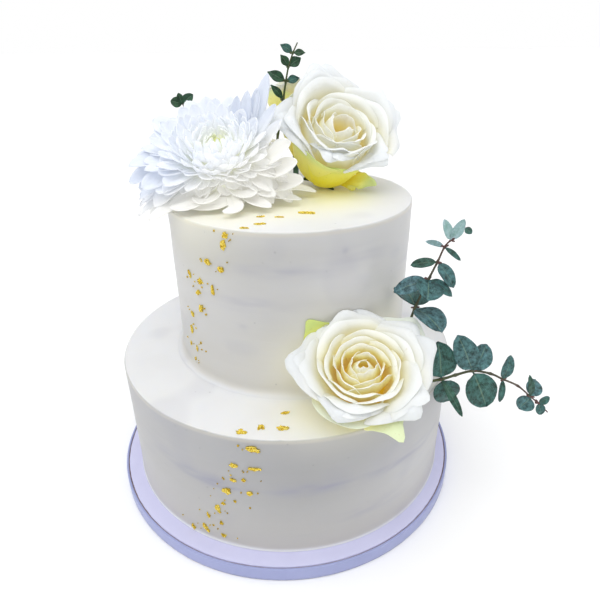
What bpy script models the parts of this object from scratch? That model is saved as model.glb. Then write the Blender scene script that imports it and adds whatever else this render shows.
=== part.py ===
"""Two-tier iced wedding cake on a round board, dressed with fresh flowers and gold leaf.

Metres, +Z up. The origin is under the middle of the board, and the front faces -Y.
"""

import math
import random

import bmesh
import bpy
from mathutils import Vector

MM = 0.001
GAP = 0.3 * MM
ROUND_SIDES = 72
GOLDEN_TURN = math.radians(137.5)

# Board: a thick round drum with a strip of paper round its edge
BOARD_RADIUS = 127 * MM
BOARD_HEIGHT = 10 * MM
BAND_THICKNESS = 1.5 * MM
BAND_LIFT = 0.4 * MM
BOARD_EDGE = 0.5 * MM

# Cake: two round tiers, each a little off the board's middle
LOWER_CENTRE = Vector((1.4 * MM, 2.7 * MM, 0))
LOWER_RADIUS = 117 * MM
LOWER_FOOT_SPREAD = 0.5 * MM
LEDGE_Z = 99 * MM
UPPER_CENTRE = Vector((5.3 * MM, 6.5 * MM, 0))
UPPER_RADIUS = 80 * MM
UPPER_FOOT_SPREAD = 2.5 * MM
TOP_Z = 204 * MM
RIM_ROUND = 1.2 * MM
FOOT_HEIGHT = 3 * MM

# Gold leaf: how far a flake stands out of the icing, how deep it is pressed in, how far its torn
# corners reach as shares of its size, and how much its underside tapers
FLAKE_PROUD = 0.5 * MM
FLAKE_SUNK = 0.8 * MM
FLAKE_REACH = (0.72, 1.1)
FLAKE_TAPER = 0.9

# Flakes on the sides: angle round the tier in degrees, then height, width and length in mm
LOWER_SIDE_FLAKES = (
    (-97.7, 92.8, 8.4, 4.4), (-103.0, 78.4, 6.5, 3.4), (-97.4, 78.0, 8.0, 3.0),
    (-103.9, 66.9, 3.9, 2.8), (-100.5, 68.4, 3.1, 2.4), (-106.2, 57.6, 6.4, 5.7),
    (-99.2, 57.6, 3.5, 3.9), (-103.8, 49.8, 2.2, 2.2), (-107.7, 45.8, 2.9, 2.2),
    (-110.2, 39.4, 4.8, 7.0), (-113.4, 30.9, 2.6, 3.8), (-109.0, 27.8, 2.6, 3.0),
    (-120.0, 13.6, 3.5, 4.6), (-115.0, 18.4, 4.6, 6.2), (-108.7, 17.0, 3.8, 3.0),
)
UPPER_SIDE_FLAKES = (
    (-114.5, 200.6, 4.1, 3.6), (-115.2, 194.9, 4.2, 6.3), (-124.3, 182.2, 5.4, 4.4),
    (-117.6, 180.0, 4.3, 4.3), (-137.9, 169.7, 3.1, 4.6), (-130.4, 168.2, 4.9, 4.5),
    (-123.1, 163.7, 2.6, 8.6), (-132.7, 159.4, 4.2, 3.5), (-131.7, 148.6, 3.5, 5.8),
    (-139.5, 141.3, 3.6, 4.0), (-142.2, 129.6, 3.3, 6.6), (-138.8, 116.8, 2.1, 4.2),
    (-144.5, 116.5, 3.0, 3.4), (-134.7, 122.8, 1.6, 2.0), (-141.7, 106.4, 1.7, 2.6),
)

# Flakes lying on top: angle in degrees, distance from the middle, width and depth in mm
LEDGE_FLAKES = (
    (-101.3, 111.7, 6.1, 4.1), (-95.9, 106.1, 4.1, 4.1),
    (-89.2, 106.0, 6.2, 4.1), (-88.3, 93.3, 5.0, 2.5),
)
TOP_FLAKES = (
    (-106.2, 53.2, 4.4, 2.6), (-102.3, 66.2, 7.4, 2.5), (-107.5, 75.0, 5.0, 1.6),
    (-75.7, 45.5, 9.7, 4.5), (-94.4, 52.6, 5.8, 1.4),
)

# Roses: middle of the rim, the way the bloom faces, rim radius and depth, how much taller the
# petals behind stand as a share of the depth, the first petal's turn, and where the stem ends
LEDGE_ROSE = {
    "rim": Vector((47, -98, 140)) * MM,
    "faces": Vector((-0.03, -0.42, 0.91)),
    "radius": 42.5 * MM,
    "depth": 32 * MM,
    "rise": 0.05,
    "turn": 20,
    "stem_end": LEDGE_Z,
}
TOP_ROSE = {
    "rim": Vector((35, 6, 248)) * MM,
    "faces": Vector((0.25, -0.55, 0.8)),
    "radius": 44 * MM,
    "depth": 42 * MM,
    "rise": 0.28,
    "turn": 65,
    "stem_end": TOP_Z,
}
BACK_ROSE = {
    "rim": Vector((10, 71, 268)) * MM,
    "faces": Vector((0.05, 0.3, 0.95)),
    "radius": 24 * MM,
    "depth": 27 * MM,
    "rise": 0,
    "turn": 10,
    "stem_end": TOP_Z,
}

# Rose petals, from the bud outwards: how many, tip radius and tip height as shares of the rim
# radius and depth, slope at the foot and at the tip in degrees from the axis, half spread in
# degrees, the share of the petal that the heart hides, and how many steps the rest has
ROSE_LAYERS = (
    (3, 0.23, 1.02, 40, -12, 72, 0.5, 2),
    (4, 0.42, 1.00, 56, 4, 58, 0.42, 2),
    (5, 0.62, 0.98, 70, 34, 46, 0.34, 2),
    (5, 0.82, 0.93, 80, 74, 44, 0.3, 3),
    (5, 1.00, 0.86, 90, 98, 43, 0.25, 3),
    (3, 0.93, 0.65, 98, 70, 50, 0.04, 3),
)
# The solid heart that the petals stand on: height and radius, as shares of depth and rim radius
ROSE_CORE = (
    (-0.12, 0.05), (-0.1, 0.12), (0, 0.14), (0.05, 0.32), (0.16, 0.46), (0.33, 0.54),
    (0.5, 0.36), (0.75, 0.2), (0.96, 0.09),
)
ROSE_CORE_SIDES = 12
ROSE_STEM_RADIUS = 2 * MM
ROSE_TRIANGLES = 2100
BACK_ROSE_TRIANGLES = 1100
PETAL_THICKNESS = 0.9 * MM
PETAL_COLUMNS = 5
PETAL_TWIST = 0.07
# Where a petal leaves the axis, as radius and height, how strongly its two ends steer its curve,
# how much shorter its sides are than its middle, and how narrow it is at its foot
PETAL_START = (2.5 * MM, 1 * MM)
PETAL_PULL = 0.42
PETAL_SHOULDER = 0.25
PETAL_FOOT_WIDTH = 0.4
PETAL_CLEARANCE = 0.9 * MM

# Chrysanthemum: a round head of petals that open from a small eye
MUM_CENTRE = Vector((-36, -10, 224)) * MM
MUM_FACES = Vector((0, -0.5, 0.866))
MUM_CORE_RADIUS = 29 * MM
MUM_ROWS = 7
MUM_WIDEST_ANGLE = 112
MUM_EYE_ANGLE = 14
MUM_EYE_REACH = 33 * MM
MUM_REACH = 58 * MM
# Where its petals grow longest: standing up against the rose, and lying along the icing
MUM_LONG_WAYS = (Vector((0.48, 0.16, 0.86)), Vector((0.88, -0.46, -0.1)))
MUM_LONG_EXTRA = 0.2
MUM_PETAL_WIDTH = 12 * MM
MUM_PETAL_THICKNESS = 1.6 * MM
MUM_PETAL_PITCH = 17 * MM
MUM_TRIANGLES = 2750
MUM_REST_Z = TOP_Z + 1.4 * MM
MUM_LOWEST_Z = TOP_Z + 0.7 * MM
MUM_ROSE_MARGIN = 4 * MM
# Its petals from root to tip: share of the length, share of the width, and how far it bows
MUM_SECTIONS = ((0, 0.55, 0), (0.4, 0.85, 0.05), (0.82, 1.0, 0.02), (1, 0.6, -0.02))
# Heights across a petal, in thicknesses: its two edges, the groove between them, and the back
MUM_EDGE, MUM_GROOVE, MUM_BACK = 0.6, 0.15, -0.6

# Eucalyptus: stem points in mm, then leaves as stem point, tip, width, and 1 to face the front
STEM_RADIUS = 0.8 * MM
LEAF_THICKNESS = 0.6 * MM
SPRIG_TRIANGLES = 90
LEAF_TRIANGLES = 54
# A leaf from foot to tip: share of its length, share of its half width; then how much it arches
# along its midrib, as a share of its length, and how much it folds, as a share of its width
LEAF_OUTLINE = ((0, 0.18), (0.28, 0.82), (0.68, 0.92), (1, 0.2))
LEAF_ARCH = 0.1
LEAF_FOLD = 0.09
UPRIGHT_STEM = (
    (68, -53, 99.6), (73, -56, 120), (78, -58, 140), (81, -58, 152), (87, -58, 170),
    (91, -58, 181), (94, -58, 190), (97, -58, 194), (104, -58, 201),
)
UPRIGHT_LEAVES = (
    (3, (89, -72, 146), 24, 0.1), (3, (78, -38, 155), 24, 0.1), (4, (71, -56, 165), 14, 0.6),
    (4, (84, -73, 164), 17, 0.3), (4, (100, -64, 162), 8, 0.4), (5, (78, -53, 178), 8, 0.8),
    (5, (100, -65, 168), 12, 0.7), (6, (84, -54, 192), 6, 0.8), (6, (103, -61, 183), 4, 0.8),
    (7, (92, -58, 206), 5, 1.0), (7, (103, -58, 206), 6, 1.0), (8, (107, -61, 199), 4, 1.0),
)
SIDE_STEM = (
    (76, -62, 100.4), (84, -68, 104), (98, -72, 110), (106, -72, 113), (116, -72, 116),
    (127, -72, 114), (135, -72, 110), (145, -72, 105), (154, -72, 97), (160, -72, 92),
    (167, -72, 85),
)
SIDE_LEAVES = (
    (2, (95, -66, 133), 18, 1.0), (2, (106, -68, 91), 17, 1.0), (2, (109, -86, 93), 5, 0.9),
    (4, (105, -69, 139), 15, 1.0), (4, (124, -66, 131), 14, 1.0), (4, (127, -75, 92), 19, 1.0),
    (6, (137, -72, 127), 7, 1.0), (6, (134, -76, 96), 4, 1.0), (8, (149, -75, 115), 4, 0.9),
    (8, (159, -64, 104), 11, 1.0), (8, (148, -74, 89), 12, 1.0), (9, (167, -70, 95), 5, 1.0),
    (9, (163, -73, 84), 6, 1.0),
)
TOP_STEM = (
    (-6, 37, 204.4), (-3, 38, 240), (1, 38, 260), (3, 38, 271), (5, 38, 280), (8, 38, 288),
    (11, 38, 294),
)
TOP_LEAVES = (
    (2, (-7, 38, 269), 6, 0.8), (3, (-9, 38, 278), 9, 0.9), (3, (13, 40, 273), 7, 0.9),
    (4, (0, 37, 287), 6, 0.9), (4, (14, 40, 283), 8, 0.9), (5, (0, 38, 292), 6, 0.9),
    (5, (16, 38, 286), 5, 0.9),
)
LEFT_STEM = (
    (-50, 46, 204.6), (-58, 47, 235), (-66, 47, 252), (-64, 46, 259),
)
LEFT_LEAVES = (
    (2, (-58, 47, 261), 8, 0.9), (3, (-74, 46, 260), 9, 1.0), (3, (-61, 45, 268), 9, 1.0),
    (3, (-68, 45, 266), 8, 1.0), (1, (-48, 47, 264), 7, 0.9),
)


def clear_scene():
    """Remove every object that the scene starts with."""
    for obj in list(bpy.data.objects):
        bpy.data.objects.remove(obj, do_unlink=True)


def new_collection(name):
    """Make a collection in the scene."""
    group = bpy.data.collections.new(name)
    bpy.context.scene.collection.children.link(group)
    return group


def new_material(name, colour, roughness):
    """Make a plain Principled material."""
    material = bpy.data.materials.new(name)
    material.use_nodes = True
    shader = material.node_tree.nodes["Principled BSDF"]
    shader.inputs["Base Color"].default_value = (*colour, 1)
    shader.inputs["Roughness"].default_value = roughness
    return material


def add_object(name, verts, faces, group, material):
    """Make a mesh object from points and faces, with its faces turned outwards."""
    mesh = bpy.data.meshes.new(name)
    mesh.from_pydata([tuple(v) for v in verts], [], faces)
    shape = bmesh.new()
    shape.from_mesh(mesh)
    bmesh.ops.recalc_face_normals(shape, faces=shape.faces)
    shape.to_mesh(mesh)
    shape.free()
    obj = bpy.data.objects.new(name, mesh)
    group.objects.link(obj)
    mesh.materials.append(material)
    return obj


def shade_smooth(obj, degrees=35):
    """Shade an object smooth, with its edges over this angle sharp."""
    obj.data.shade_smooth()
    obj.data.set_sharp_from_angle(angle=math.radians(degrees))


def make_real(obj):
    """Replace an object's mesh by the one that its modifiers make."""
    graph = bpy.context.evaluated_depsgraph_get()
    made = bpy.data.meshes.new_from_object(obj.evaluated_get(graph))
    made.name = obj.name
    obj.modifiers.clear()
    obj.data = made


def turned(name, profile, group, material, centre=(0, 0, 0), closed=False):
    """Turn a profile of (radius, height), top to bottom down its outer side, round +Z."""
    mesh = bpy.data.meshes.new(name)
    points = [(radius, 0, height) for radius, height in profile]
    edges = [(i, i + 1) for i in range(len(points) - 1)]
    if closed:
        edges.append((len(points) - 1, 0))
    mesh.from_pydata(points, edges, [])
    obj = bpy.data.objects.new(name, mesh)
    obj.location = centre
    group.objects.link(obj)
    mesh.materials.append(material)
    screw = obj.modifiers.new("Turn", "SCREW")
    screw.steps = ROUND_SIDES
    screw.render_steps = ROUND_SIDES
    screw.use_merge_vertices = True
    screw.merge_threshold = 0.00001
    return obj


def keep_outer_body(obj):
    """Keep the largest body: a sealed hollow is filled and a loose scrap is dropped."""
    shape = bmesh.new()
    shape.from_mesh(obj.data)
    bmesh.ops.triangulate(shape, faces=shape.faces)
    left = set(shape.verts)
    bodies = []
    while left:
        body = {left.pop()}
        edge = list(body)
        while edge:
            vert = edge.pop()
            near = {e.other_vert(vert) for e in vert.link_edges} & left
            left -= near
            body |= near
            edge += near
        faces = {face for vert in body for face in vert.link_faces}
        volume = sum(f.verts[0].co.dot(f.verts[1].co.cross(f.verts[2].co)) for f in faces)
        bodies.append((volume, body))
    bodies.sort(key=lambda entry: entry[0])
    for _, body in bodies[:-1]:
        bmesh.ops.delete(shape, geom=list(body), context="VERTS")
    shape.to_mesh(obj.data)
    shape.free()


def fuse(core, pieces):
    """Join pieces to a core by one Boolean union, and remove them."""
    bpy.context.view_layer.update()
    union = core.modifiers.new("Union", "BOOLEAN")
    union.operation = "UNION"
    union.operand_type = "COLLECTION"
    union.collection = pieces
    union.solver = "MANIFOLD"
    make_real(core)
    for piece in list(pieces.objects):
        bpy.data.objects.remove(piece, do_unlink=True)
    bpy.data.collections.remove(pieces)
    keep_outer_body(core)


def thin_out(obj, most):
    """Collapse the shortest and flattest edges until this many triangles are left."""
    obj.data.calc_loop_triangles()
    count = len(obj.data.loop_triangles)
    if count <= most:
        return
    fewer = obj.modifiers.new("Fewer", "DECIMATE")
    fewer.ratio = most / count
    make_real(obj)
    keep_outer_body(obj)


def frame_of(direction):
    """Two unit vectors across a direction: the first level, the second as upright as can be."""
    axis = direction.normalized()
    across = axis.cross(Vector((0, 0, 1)))
    if across.length < 0.01:
        across = Vector((1, 0, 0))
    across.normalize()
    return across, across.cross(axis)


def thick_sheet(rows, thickness):
    """Give a grid of points a thickness: both faces are split into triangles alike."""
    high = len(rows)
    wide = len(rows[0])
    front = []
    back = []
    for i in range(high):
        for j in range(wide):
            along = rows[min(i + 1, high - 1)][j] - rows[max(i - 1, 0)][j]
            across = rows[i][min(j + 1, wide - 1)] - rows[i][max(j - 1, 0)]
            normal = along.cross(across).normalized() * (thickness / 2)
            front.append(rows[i][j] + normal)
            back.append(rows[i][j] - normal)
    count = high * wide
    faces = []
    for i in range(high - 1):
        for j in range(wide - 1):
            a = i * wide + j
            b, c, d = a + 1, a + wide + 1, a + wide
            faces += [(a, b, c), (a, c, d)]
            faces += [(count + c, count + b, count + a), (count + d, count + c, count + a)]
    rim = list(range(wide))
    rim += [i * wide + wide - 1 for i in range(1, high)]
    rim += [(high - 1) * wide + j for j in range(wide - 2, -1, -1)]
    rim += [i * wide for i in range(high - 2, 0, -1)]
    for k, a in enumerate(rim):
        b = rim[(k + 1) % len(rim)]
        faces += [(a, count + a, count + b), (a, count + b, b)]
    return front + back, faces


def flake_solid(place, out, up, width, length, draw):
    """A small torn flake: an uneven outline pressed into the icing, with a raised middle."""
    side = out.cross(up)
    corners = draw.choice((6, 7))
    start = draw.uniform(0, math.tau)
    verts = []
    for depth in (FLAKE_PROUD, -FLAKE_SUNK):
        for k in range(corners):
            angle = start + k * math.tau / corners
            if depth > 0:
                verts.append((angle, draw.uniform(*FLAKE_REACH), depth * draw.uniform(0.5, 1)))
            else:
                verts.append((angle, verts[k][1] * FLAKE_TAPER, depth))
    points = []
    for angle, reach, depth in verts:
        across = math.cos(angle) * reach * width * MM / 2
        rise = math.sin(angle) * reach * length * MM / 2
        points.append(place + side * across + up * rise + out * depth)
    points.append(place + out * FLAKE_PROUD * 1.2)
    faces = [tuple(range(corners, 2 * corners))]
    for k in range(corners):
        after = (k + 1) % corners
        faces.append((k, after, 2 * corners))
        faces.append((k, corners + k, corners + after, after))
    return points, faces


def add_flakes(centre, radius, top_z, side_flakes, top_flakes, seed, gold):
    """Make the gold flakes of one tier, in a collection of their own."""
    draw = random.Random(seed)
    group = new_collection("flakes")
    for angle, height, width, length in side_flakes:
        out = Vector((math.cos(math.radians(angle)), math.sin(math.radians(angle)), 0))
        place = centre + out * radius + Vector((0, 0, height * MM))
        shape = flake_solid(place, out, Vector((0, 0, 1)), width, length, draw)
        add_object("flake", *shape, group, gold)
    for angle, distance, width, length in top_flakes:
        away = Vector((math.cos(math.radians(angle)), math.sin(math.radians(angle)), 0))
        place = centre + away * distance * MM + Vector((0, 0, top_z))
        shape = flake_solid(place, Vector((0, 0, 1)), Vector((0, 1, 0)), width, length, draw)
        add_object("flake", *shape, group, gold)
    return group


def add_board(group, paper):
    """The board is a disc, and a strip of paper goes round its edge."""
    inner = BOARD_RADIUS - BAND_THICKNESS
    core = turned(
        "board_core",
        [
            (0, BOARD_HEIGHT),
            (inner - GAP - BOARD_EDGE, BOARD_HEIGHT),
            (inner - GAP, BOARD_HEIGHT - BOARD_EDGE),
            (inner - GAP, 0),
            (0, 0),
        ],
        group,
        paper,
    )
    shade_smooth(core)
    band = turned(
        "board_edge_band",
        [
            (inner, BOARD_HEIGHT),
            (BOARD_RADIUS - BOARD_EDGE, BOARD_HEIGHT),
            (BOARD_RADIUS, BOARD_HEIGHT - BOARD_EDGE),
            (BOARD_RADIUS, BAND_LIFT),
            (inner, BAND_LIFT),
        ],
        group,
        paper,
        closed=True,
    )
    shade_smooth(band)


def add_tier(name, centre, radius, foot_spread, bottom, top, flakes, group, icing):
    """One round tier with a sharp rim, a slight flare of icing at its foot, and its flakes."""
    profile = [
        (0, top),
        (radius - RIM_ROUND, top),
        (radius, top - RIM_ROUND),
        (radius, bottom + FOOT_HEIGHT),
        (radius + foot_spread, bottom),
        (0, bottom),
    ]
    tier = turned(name, profile, group, icing, centre)
    make_real(tier)
    fuse(tier, flakes)
    shade_smooth(tier)


def outside_cake(point, margin):
    """Move a point out of the upper tier's wall and off the ledge and the top."""
    moved = point.copy()
    flat = Vector((moved.x - UPPER_CENTRE.x, moved.y - UPPER_CENTRE.y, 0))
    if moved.z < TOP_Z and flat.length < UPPER_RADIUS + margin:
        flat = flat.normalized() * (UPPER_RADIUS + margin)
        moved = Vector((UPPER_CENTRE.x + flat.x, UPPER_CENTRE.y + flat.y, moved.z))
    over = Vector((moved.x - LOWER_CENTRE.x, moved.y - LOWER_CENTRE.y)).length
    if over < LOWER_RADIUS + margin and moved.z < LEDGE_Z + margin:
        moved.z = LEDGE_Z + margin
    return moved


def rose_axis(rose):
    """The foot of a rose, its axis, and two directions across it."""
    axis = rose["faces"].normalized()
    across, upright = frame_of(axis)
    return rose["rim"] - axis * rose["depth"], axis, across, upright


def rose_petal(rose, layer, heading, draw):
    """The grid of one rose petal: a curve from the foot to the tip, wrapped round the axis."""
    _, tip_radius, tip_height, foot_slope, tip_slope, spread, hidden, steps = layer
    foot, axis, across, upright = rose_axis(rose)
    behind = max(0, math.sin(heading)) * tip_radius * rose["rise"]
    tip_height = (tip_height + behind) * draw.uniform(0.97, 1.03)
    tip = (tip_radius * rose["radius"], tip_height * rose["depth"])
    pull = math.dist(PETAL_START, tip) * PETAL_PULL
    first = math.radians(foot_slope)
    last = math.radians(tip_slope * (1 - 1.5 * behind))
    bend = (
        PETAL_START,
        (PETAL_START[0] + pull * math.sin(first), PETAL_START[1] + pull * math.cos(first)),
        (tip[0] - pull * math.sin(last), tip[1] - pull * math.cos(last)),
        tip,
    )
    rows = []
    for i in range(steps + 1):
        row = []
        for j in range(PETAL_COLUMNS):
            side = 2 * j / (PETAL_COLUMNS - 1) - 1
            reach = i / steps * (1 - PETAL_SHOULDER * abs(side) ** 2.5)
            s = hidden + (1 - hidden) * reach
            weights = ((1 - s) ** 3, 3 * s * (1 - s) ** 2, 3 * s * s * (1 - s), s**3)
            radius = sum(w * p[0] for w, p in zip(weights, bend)) * (1 + PETAL_TWIST * side)
            height = sum(w * p[1] for w, p in zip(weights, bend))
            width = PETAL_FOOT_WIDTH + (1 - PETAL_FOOT_WIDTH) * s
            turn = heading + math.radians(spread) * side * width
            point = foot + axis * height
            point += (across * math.cos(turn) + upright * math.sin(turn)) * radius
            row.append(outside_cake(point, PETAL_CLEARANCE))
        rows.append(row)
    return rows


def add_rose(name, rose, layers, most, seed, group, petals):
    """One rose: a round foot with its calyx and stem, and every petal fused to it."""
    draw = random.Random(seed)
    foot, axis, across, upright = rose_axis(rose)
    pieces = new_collection("petals")
    heading = math.radians(rose["turn"])
    for layer in layers:
        for k in range(layer[0]):
            turn = heading + k * math.tau / layer[0] + draw.uniform(-0.12, 0.12)
            grid = rose_petal(rose, layer, turn, draw)
            add_object("petal", *thick_sheet(grid, PETAL_THICKNESS), pieces, petals)
        heading += GOLDEN_TURN
    turns = [k * math.tau / ROSE_CORE_SIDES for k in range(ROSE_CORE_SIDES)]
    stem = foot + axis * ROSE_CORE[0][0] * rose["depth"]
    stem.z = rose["stem_end"] + 1.5 * GAP
    first = math.atan2(across.y, across.x)
    verts = []
    for turn in turns:
        ring = Vector((math.cos(first + turn), math.sin(first + turn), 0))
        verts.append(stem + ring * ROSE_STEM_RADIUS)
    for height, radius in ROSE_CORE:
        middle = foot + axis * height * rose["depth"]
        for turn in turns:
            ring = across * math.cos(turn) + upright * math.sin(turn)
            place = middle + ring * radius * rose["radius"]
            verts.append(outside_cake(place, PETAL_CLEARANCE))
    sides = ROSE_CORE_SIDES
    top = len(ROSE_CORE) * sides
    faces = [tuple(range(sides)), tuple(range(top, top + sides))]
    for i in range(len(ROSE_CORE)):
        for k in range(sides):
            a, b = i * sides + k, i * sides + (k + 1) % sides
            faces.append((a, b, b + sides, a + sides))
    core = add_object(name, verts, faces, group, petals)
    fuse(core, pieces)
    thin_out(core, most)
    shade_smooth(core, 50)


def inside_rose(point, rose):
    """Whether a point lies within the bowl of a rose."""
    foot, axis, _, _ = rose_axis(rose)
    offset = point - foot
    height = offset.dot(axis)
    if not -8 * MM < height < rose["depth"] * 1.15:
        return False
    share = min(max(height / rose["depth"], 0), 1)
    bowl = rose["radius"] * (0.45 + 0.6 * share**0.6)
    return (offset - axis * height).length < bowl + MUM_ROSE_MARGIN


def mum_petal(direction, root, reach, width):
    """A grooved petal: four sections from its root to its rounded tip."""
    across = direction.cross(MUM_FACES).normalized()
    inner = across.cross(direction)
    verts = []
    for share, wide, rise in MUM_SECTIONS:
        middle = MUM_CENTRE + direction * (root + (reach - root) * share)
        middle += inner * reach * rise
        middle.z = max(middle.z, MUM_REST_Z)
        half = across * width * wide / 2
        up = inner * MUM_PETAL_THICKNESS
        ring = (
            middle - half + up * MUM_EDGE,
            middle + up * MUM_GROOVE,
            middle + half + up * MUM_EDGE,
            middle + up * MUM_BACK,
        )
        for point in ring:
            point.z = max(point.z, MUM_LOWEST_Z)
            verts.append(point)
    last = (len(MUM_SECTIONS) - 1) * 4
    faces = [(0, 1, 3), (1, 2, 3), (last, last + 3, last + 1), (last + 1, last + 3, last + 2)]
    for i in range(len(MUM_SECTIONS) - 1):
        for k in range(4):
            a, b = i * 4 + k, i * 4 + (k + 1) % 4
            faces += [(a, a + 4, b + 4), (a, b + 4, b)]
    return verts, faces


def add_chrysanthemum(group, petals):
    """A round core with rows of petals, short round the eye and long below."""
    draw = random.Random(7)
    axis = MUM_FACES.normalized()
    across, upright = frame_of(axis)
    shape = bmesh.new()
    bmesh.ops.create_uvsphere(shape, u_segments=16, v_segments=9, radius=MUM_CORE_RADIUS)
    for vert in shape.verts:
        vert.co += MUM_CENTRE
        vert.co.z = max(vert.co.z, MUM_LOWEST_Z)
    bmesh.ops.remove_doubles(shape, verts=shape.verts, dist=0.01 * MM)
    bmesh.ops.dissolve_degenerate(shape, edges=shape.edges, dist=0.01 * MM)
    mesh = bpy.data.meshes.new("chrysanthemum")
    shape.to_mesh(mesh)
    shape.free()
    core = bpy.data.objects.new("chrysanthemum", mesh)
    group.objects.link(core)
    mesh.materials.append(petals)
    pieces = new_collection("petals")
    for row in range(MUM_ROWS):
        share = row / (MUM_ROWS - 1)
        tilt = math.radians(MUM_EYE_ANGLE + (MUM_WIDEST_ANGLE - MUM_EYE_ANGLE) * share)
        reach = MUM_EYE_REACH + (MUM_REACH - MUM_EYE_REACH) * share**0.7
        count = max(5, round(math.tau * reach * math.sin(tilt) / MUM_PETAL_PITCH))
        for k in range(count):
            turn = (k + 0.5 * (row % 2) + draw.uniform(-0.15, 0.15)) * math.tau / count
            ring = across * math.cos(turn) + upright * math.sin(turn)
            direction = axis * math.cos(tilt) + ring * math.sin(tilt)
            near = max(direction.dot(way.normalized()) for way in MUM_LONG_WAYS)
            long = reach * draw.uniform(0.9, 1.05) * (1 + MUM_LONG_EXTRA * max(0, near * 5 - 4))
            width = MUM_PETAL_WIDTH * (0.55 + 0.45 * share) * draw.uniform(0.9, 1.1)
            root = MUM_CORE_RADIUS * 0.8
            while long > root and inside_rose(MUM_CENTRE + direction * long, TOP_ROSE):
                long -= 2 * MM
            if long < MUM_CORE_RADIUS * 1.1 and row > 1:
                continue
            shape = mum_petal(direction, min(root, long * 0.6), long, width)
            add_object("petal", *shape, pieces, petals)
    fuse(core, pieces)
    thin_out(core, MUM_TRIANGLES)
    shade_smooth(core, 50)


def leaf_grid(foot, tip, width, facing, stem_direction):
    """The grid of a round leaf, folded a little along its midrib."""
    along = tip - foot
    hint = Vector((0, -1, 0.3)) * facing + stem_direction * (1 - facing)
    face = (hint - along * hint.dot(along) / along.length_squared).normalized()
    across = along.cross(face).normalized()
    rows = []
    for share, wide in LEAF_OUTLINE:
        arch = face * along.length * LEAF_ARCH * math.sin(math.pi * share)
        middle = foot + along * share + arch
        half = across * width * wide / 2
        lift = face * width * wide * LEAF_FOLD
        rows.append([middle - half + lift, middle - lift, middle + half + lift])
    return rows


def add_sprig(name, stem, leaves, group, green):
    """A eucalyptus sprig: a bent stem with its leaves fused on."""
    points = [Vector(place) * MM for place in stem]
    curve = bpy.data.curves.new(name, "CURVE")
    curve.dimensions = "3D"
    curve.bevel_depth = STEM_RADIUS
    curve.bevel_resolution = 0
    curve.use_fill_caps = True
    line = curve.splines.new("POLY")
    line.points.add(len(points) - 1)
    for slot, place in zip(line.points, points):
        slot.co = (*place, 1)
    guide = bpy.data.objects.new("guide", curve)
    bpy.context.scene.collection.objects.link(guide)
    bpy.context.view_layer.update()
    graph = bpy.context.evaluated_depsgraph_get()
    mesh = bpy.data.meshes.new_from_object(guide.evaluated_get(graph))
    bpy.data.objects.remove(guide, do_unlink=True)
    shape = bmesh.new()
    shape.from_mesh(mesh)
    bmesh.ops.remove_doubles(shape, verts=shape.verts, dist=0.01 * MM)
    bmesh.ops.recalc_face_normals(shape, faces=shape.faces)
    shape.to_mesh(mesh)
    shape.free()
    sprig = bpy.data.objects.new(name, mesh)
    group.objects.link(sprig)
    mesh.materials.clear()
    mesh.materials.append(green)
    pieces = new_collection("leaves")
    for at, tip, width, facing in leaves:
        foot = points[at]
        ahead = points[min(at + 1, len(points) - 1)] - points[at - 1]
        grid = leaf_grid(foot, Vector(tip) * MM, width * MM, facing, ahead.normalized())
        add_object("leaf", *thick_sheet(grid, LEAF_THICKNESS), pieces, green)
    fuse(sprig, pieces)
    thin_out(sprig, SPRIG_TRIANGLES + LEAF_TRIANGLES * len(leaves))
    shade_smooth(sprig, 50)


clear_scene()
cake = new_collection("wedding_cake")
paper = new_material("lavender_paper", (0.62, 0.62, 0.86), 0.45)
icing = new_material("white_icing", (0.93, 0.92, 0.88), 0.5)
gold = new_material("gold_leaf", (0.72, 0.5, 0.12), 0.3)
rose_petals = new_material("cream_petals", (0.95, 0.92, 0.78), 0.45)
mum_petals = new_material("white_petals", (0.93, 0.94, 0.98), 0.5)
greens = new_material("eucalyptus", (0.1, 0.22, 0.18), 0.5)

add_board(cake, paper)
lower_flakes = add_flakes(
    LOWER_CENTRE, LOWER_RADIUS, LEDGE_Z, LOWER_SIDE_FLAKES, LEDGE_FLAKES, 3, gold
)
upper_flakes = add_flakes(
    UPPER_CENTRE, UPPER_RADIUS, TOP_Z, UPPER_SIDE_FLAKES, TOP_FLAKES, 5, gold
)
add_tier(
    "lower_tier", LOWER_CENTRE, LOWER_RADIUS, LOWER_FOOT_SPREAD,
    BOARD_HEIGHT + GAP, LEDGE_Z, lower_flakes, cake, icing,
)
add_tier(
    "upper_tier", UPPER_CENTRE, UPPER_RADIUS, UPPER_FOOT_SPREAD,
    LEDGE_Z + GAP, TOP_Z, upper_flakes, cake, icing,
)
add_rose("ledge_rose", LEDGE_ROSE, ROSE_LAYERS, ROSE_TRIANGLES, 11, cake, rose_petals)
add_rose("top_rose", TOP_ROSE, ROSE_LAYERS, ROSE_TRIANGLES, 12, cake, rose_petals)
add_rose("back_rose", BACK_ROSE, ROSE_LAYERS[1:5], BACK_ROSE_TRIANGLES, 13, cake, rose_petals)
add_chrysanthemum(cake, mum_petals)
add_sprig("sprig_ledge_upright", UPRIGHT_STEM, UPRIGHT_LEAVES, cake, greens)
add_sprig("sprig_ledge_side", SIDE_STEM, SIDE_LEAVES, cake, greens)
add_sprig("sprig_top_upright", TOP_STEM, TOP_LEAVES, cake, greens)
add_sprig("sprig_top_left", LEFT_STEM, LEFT_LEAVES, cake, greens)
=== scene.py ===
"""The looks of a two-tier iced wedding cake with fresh flowers, eucalyptus and gold leaf.

Metres, +Z up. The origin is under the middle of the board, and the front faces -Y.
"""

import math
import random

import bpy
import numpy as np
from mathutils import Matrix, Vector, noise


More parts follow.
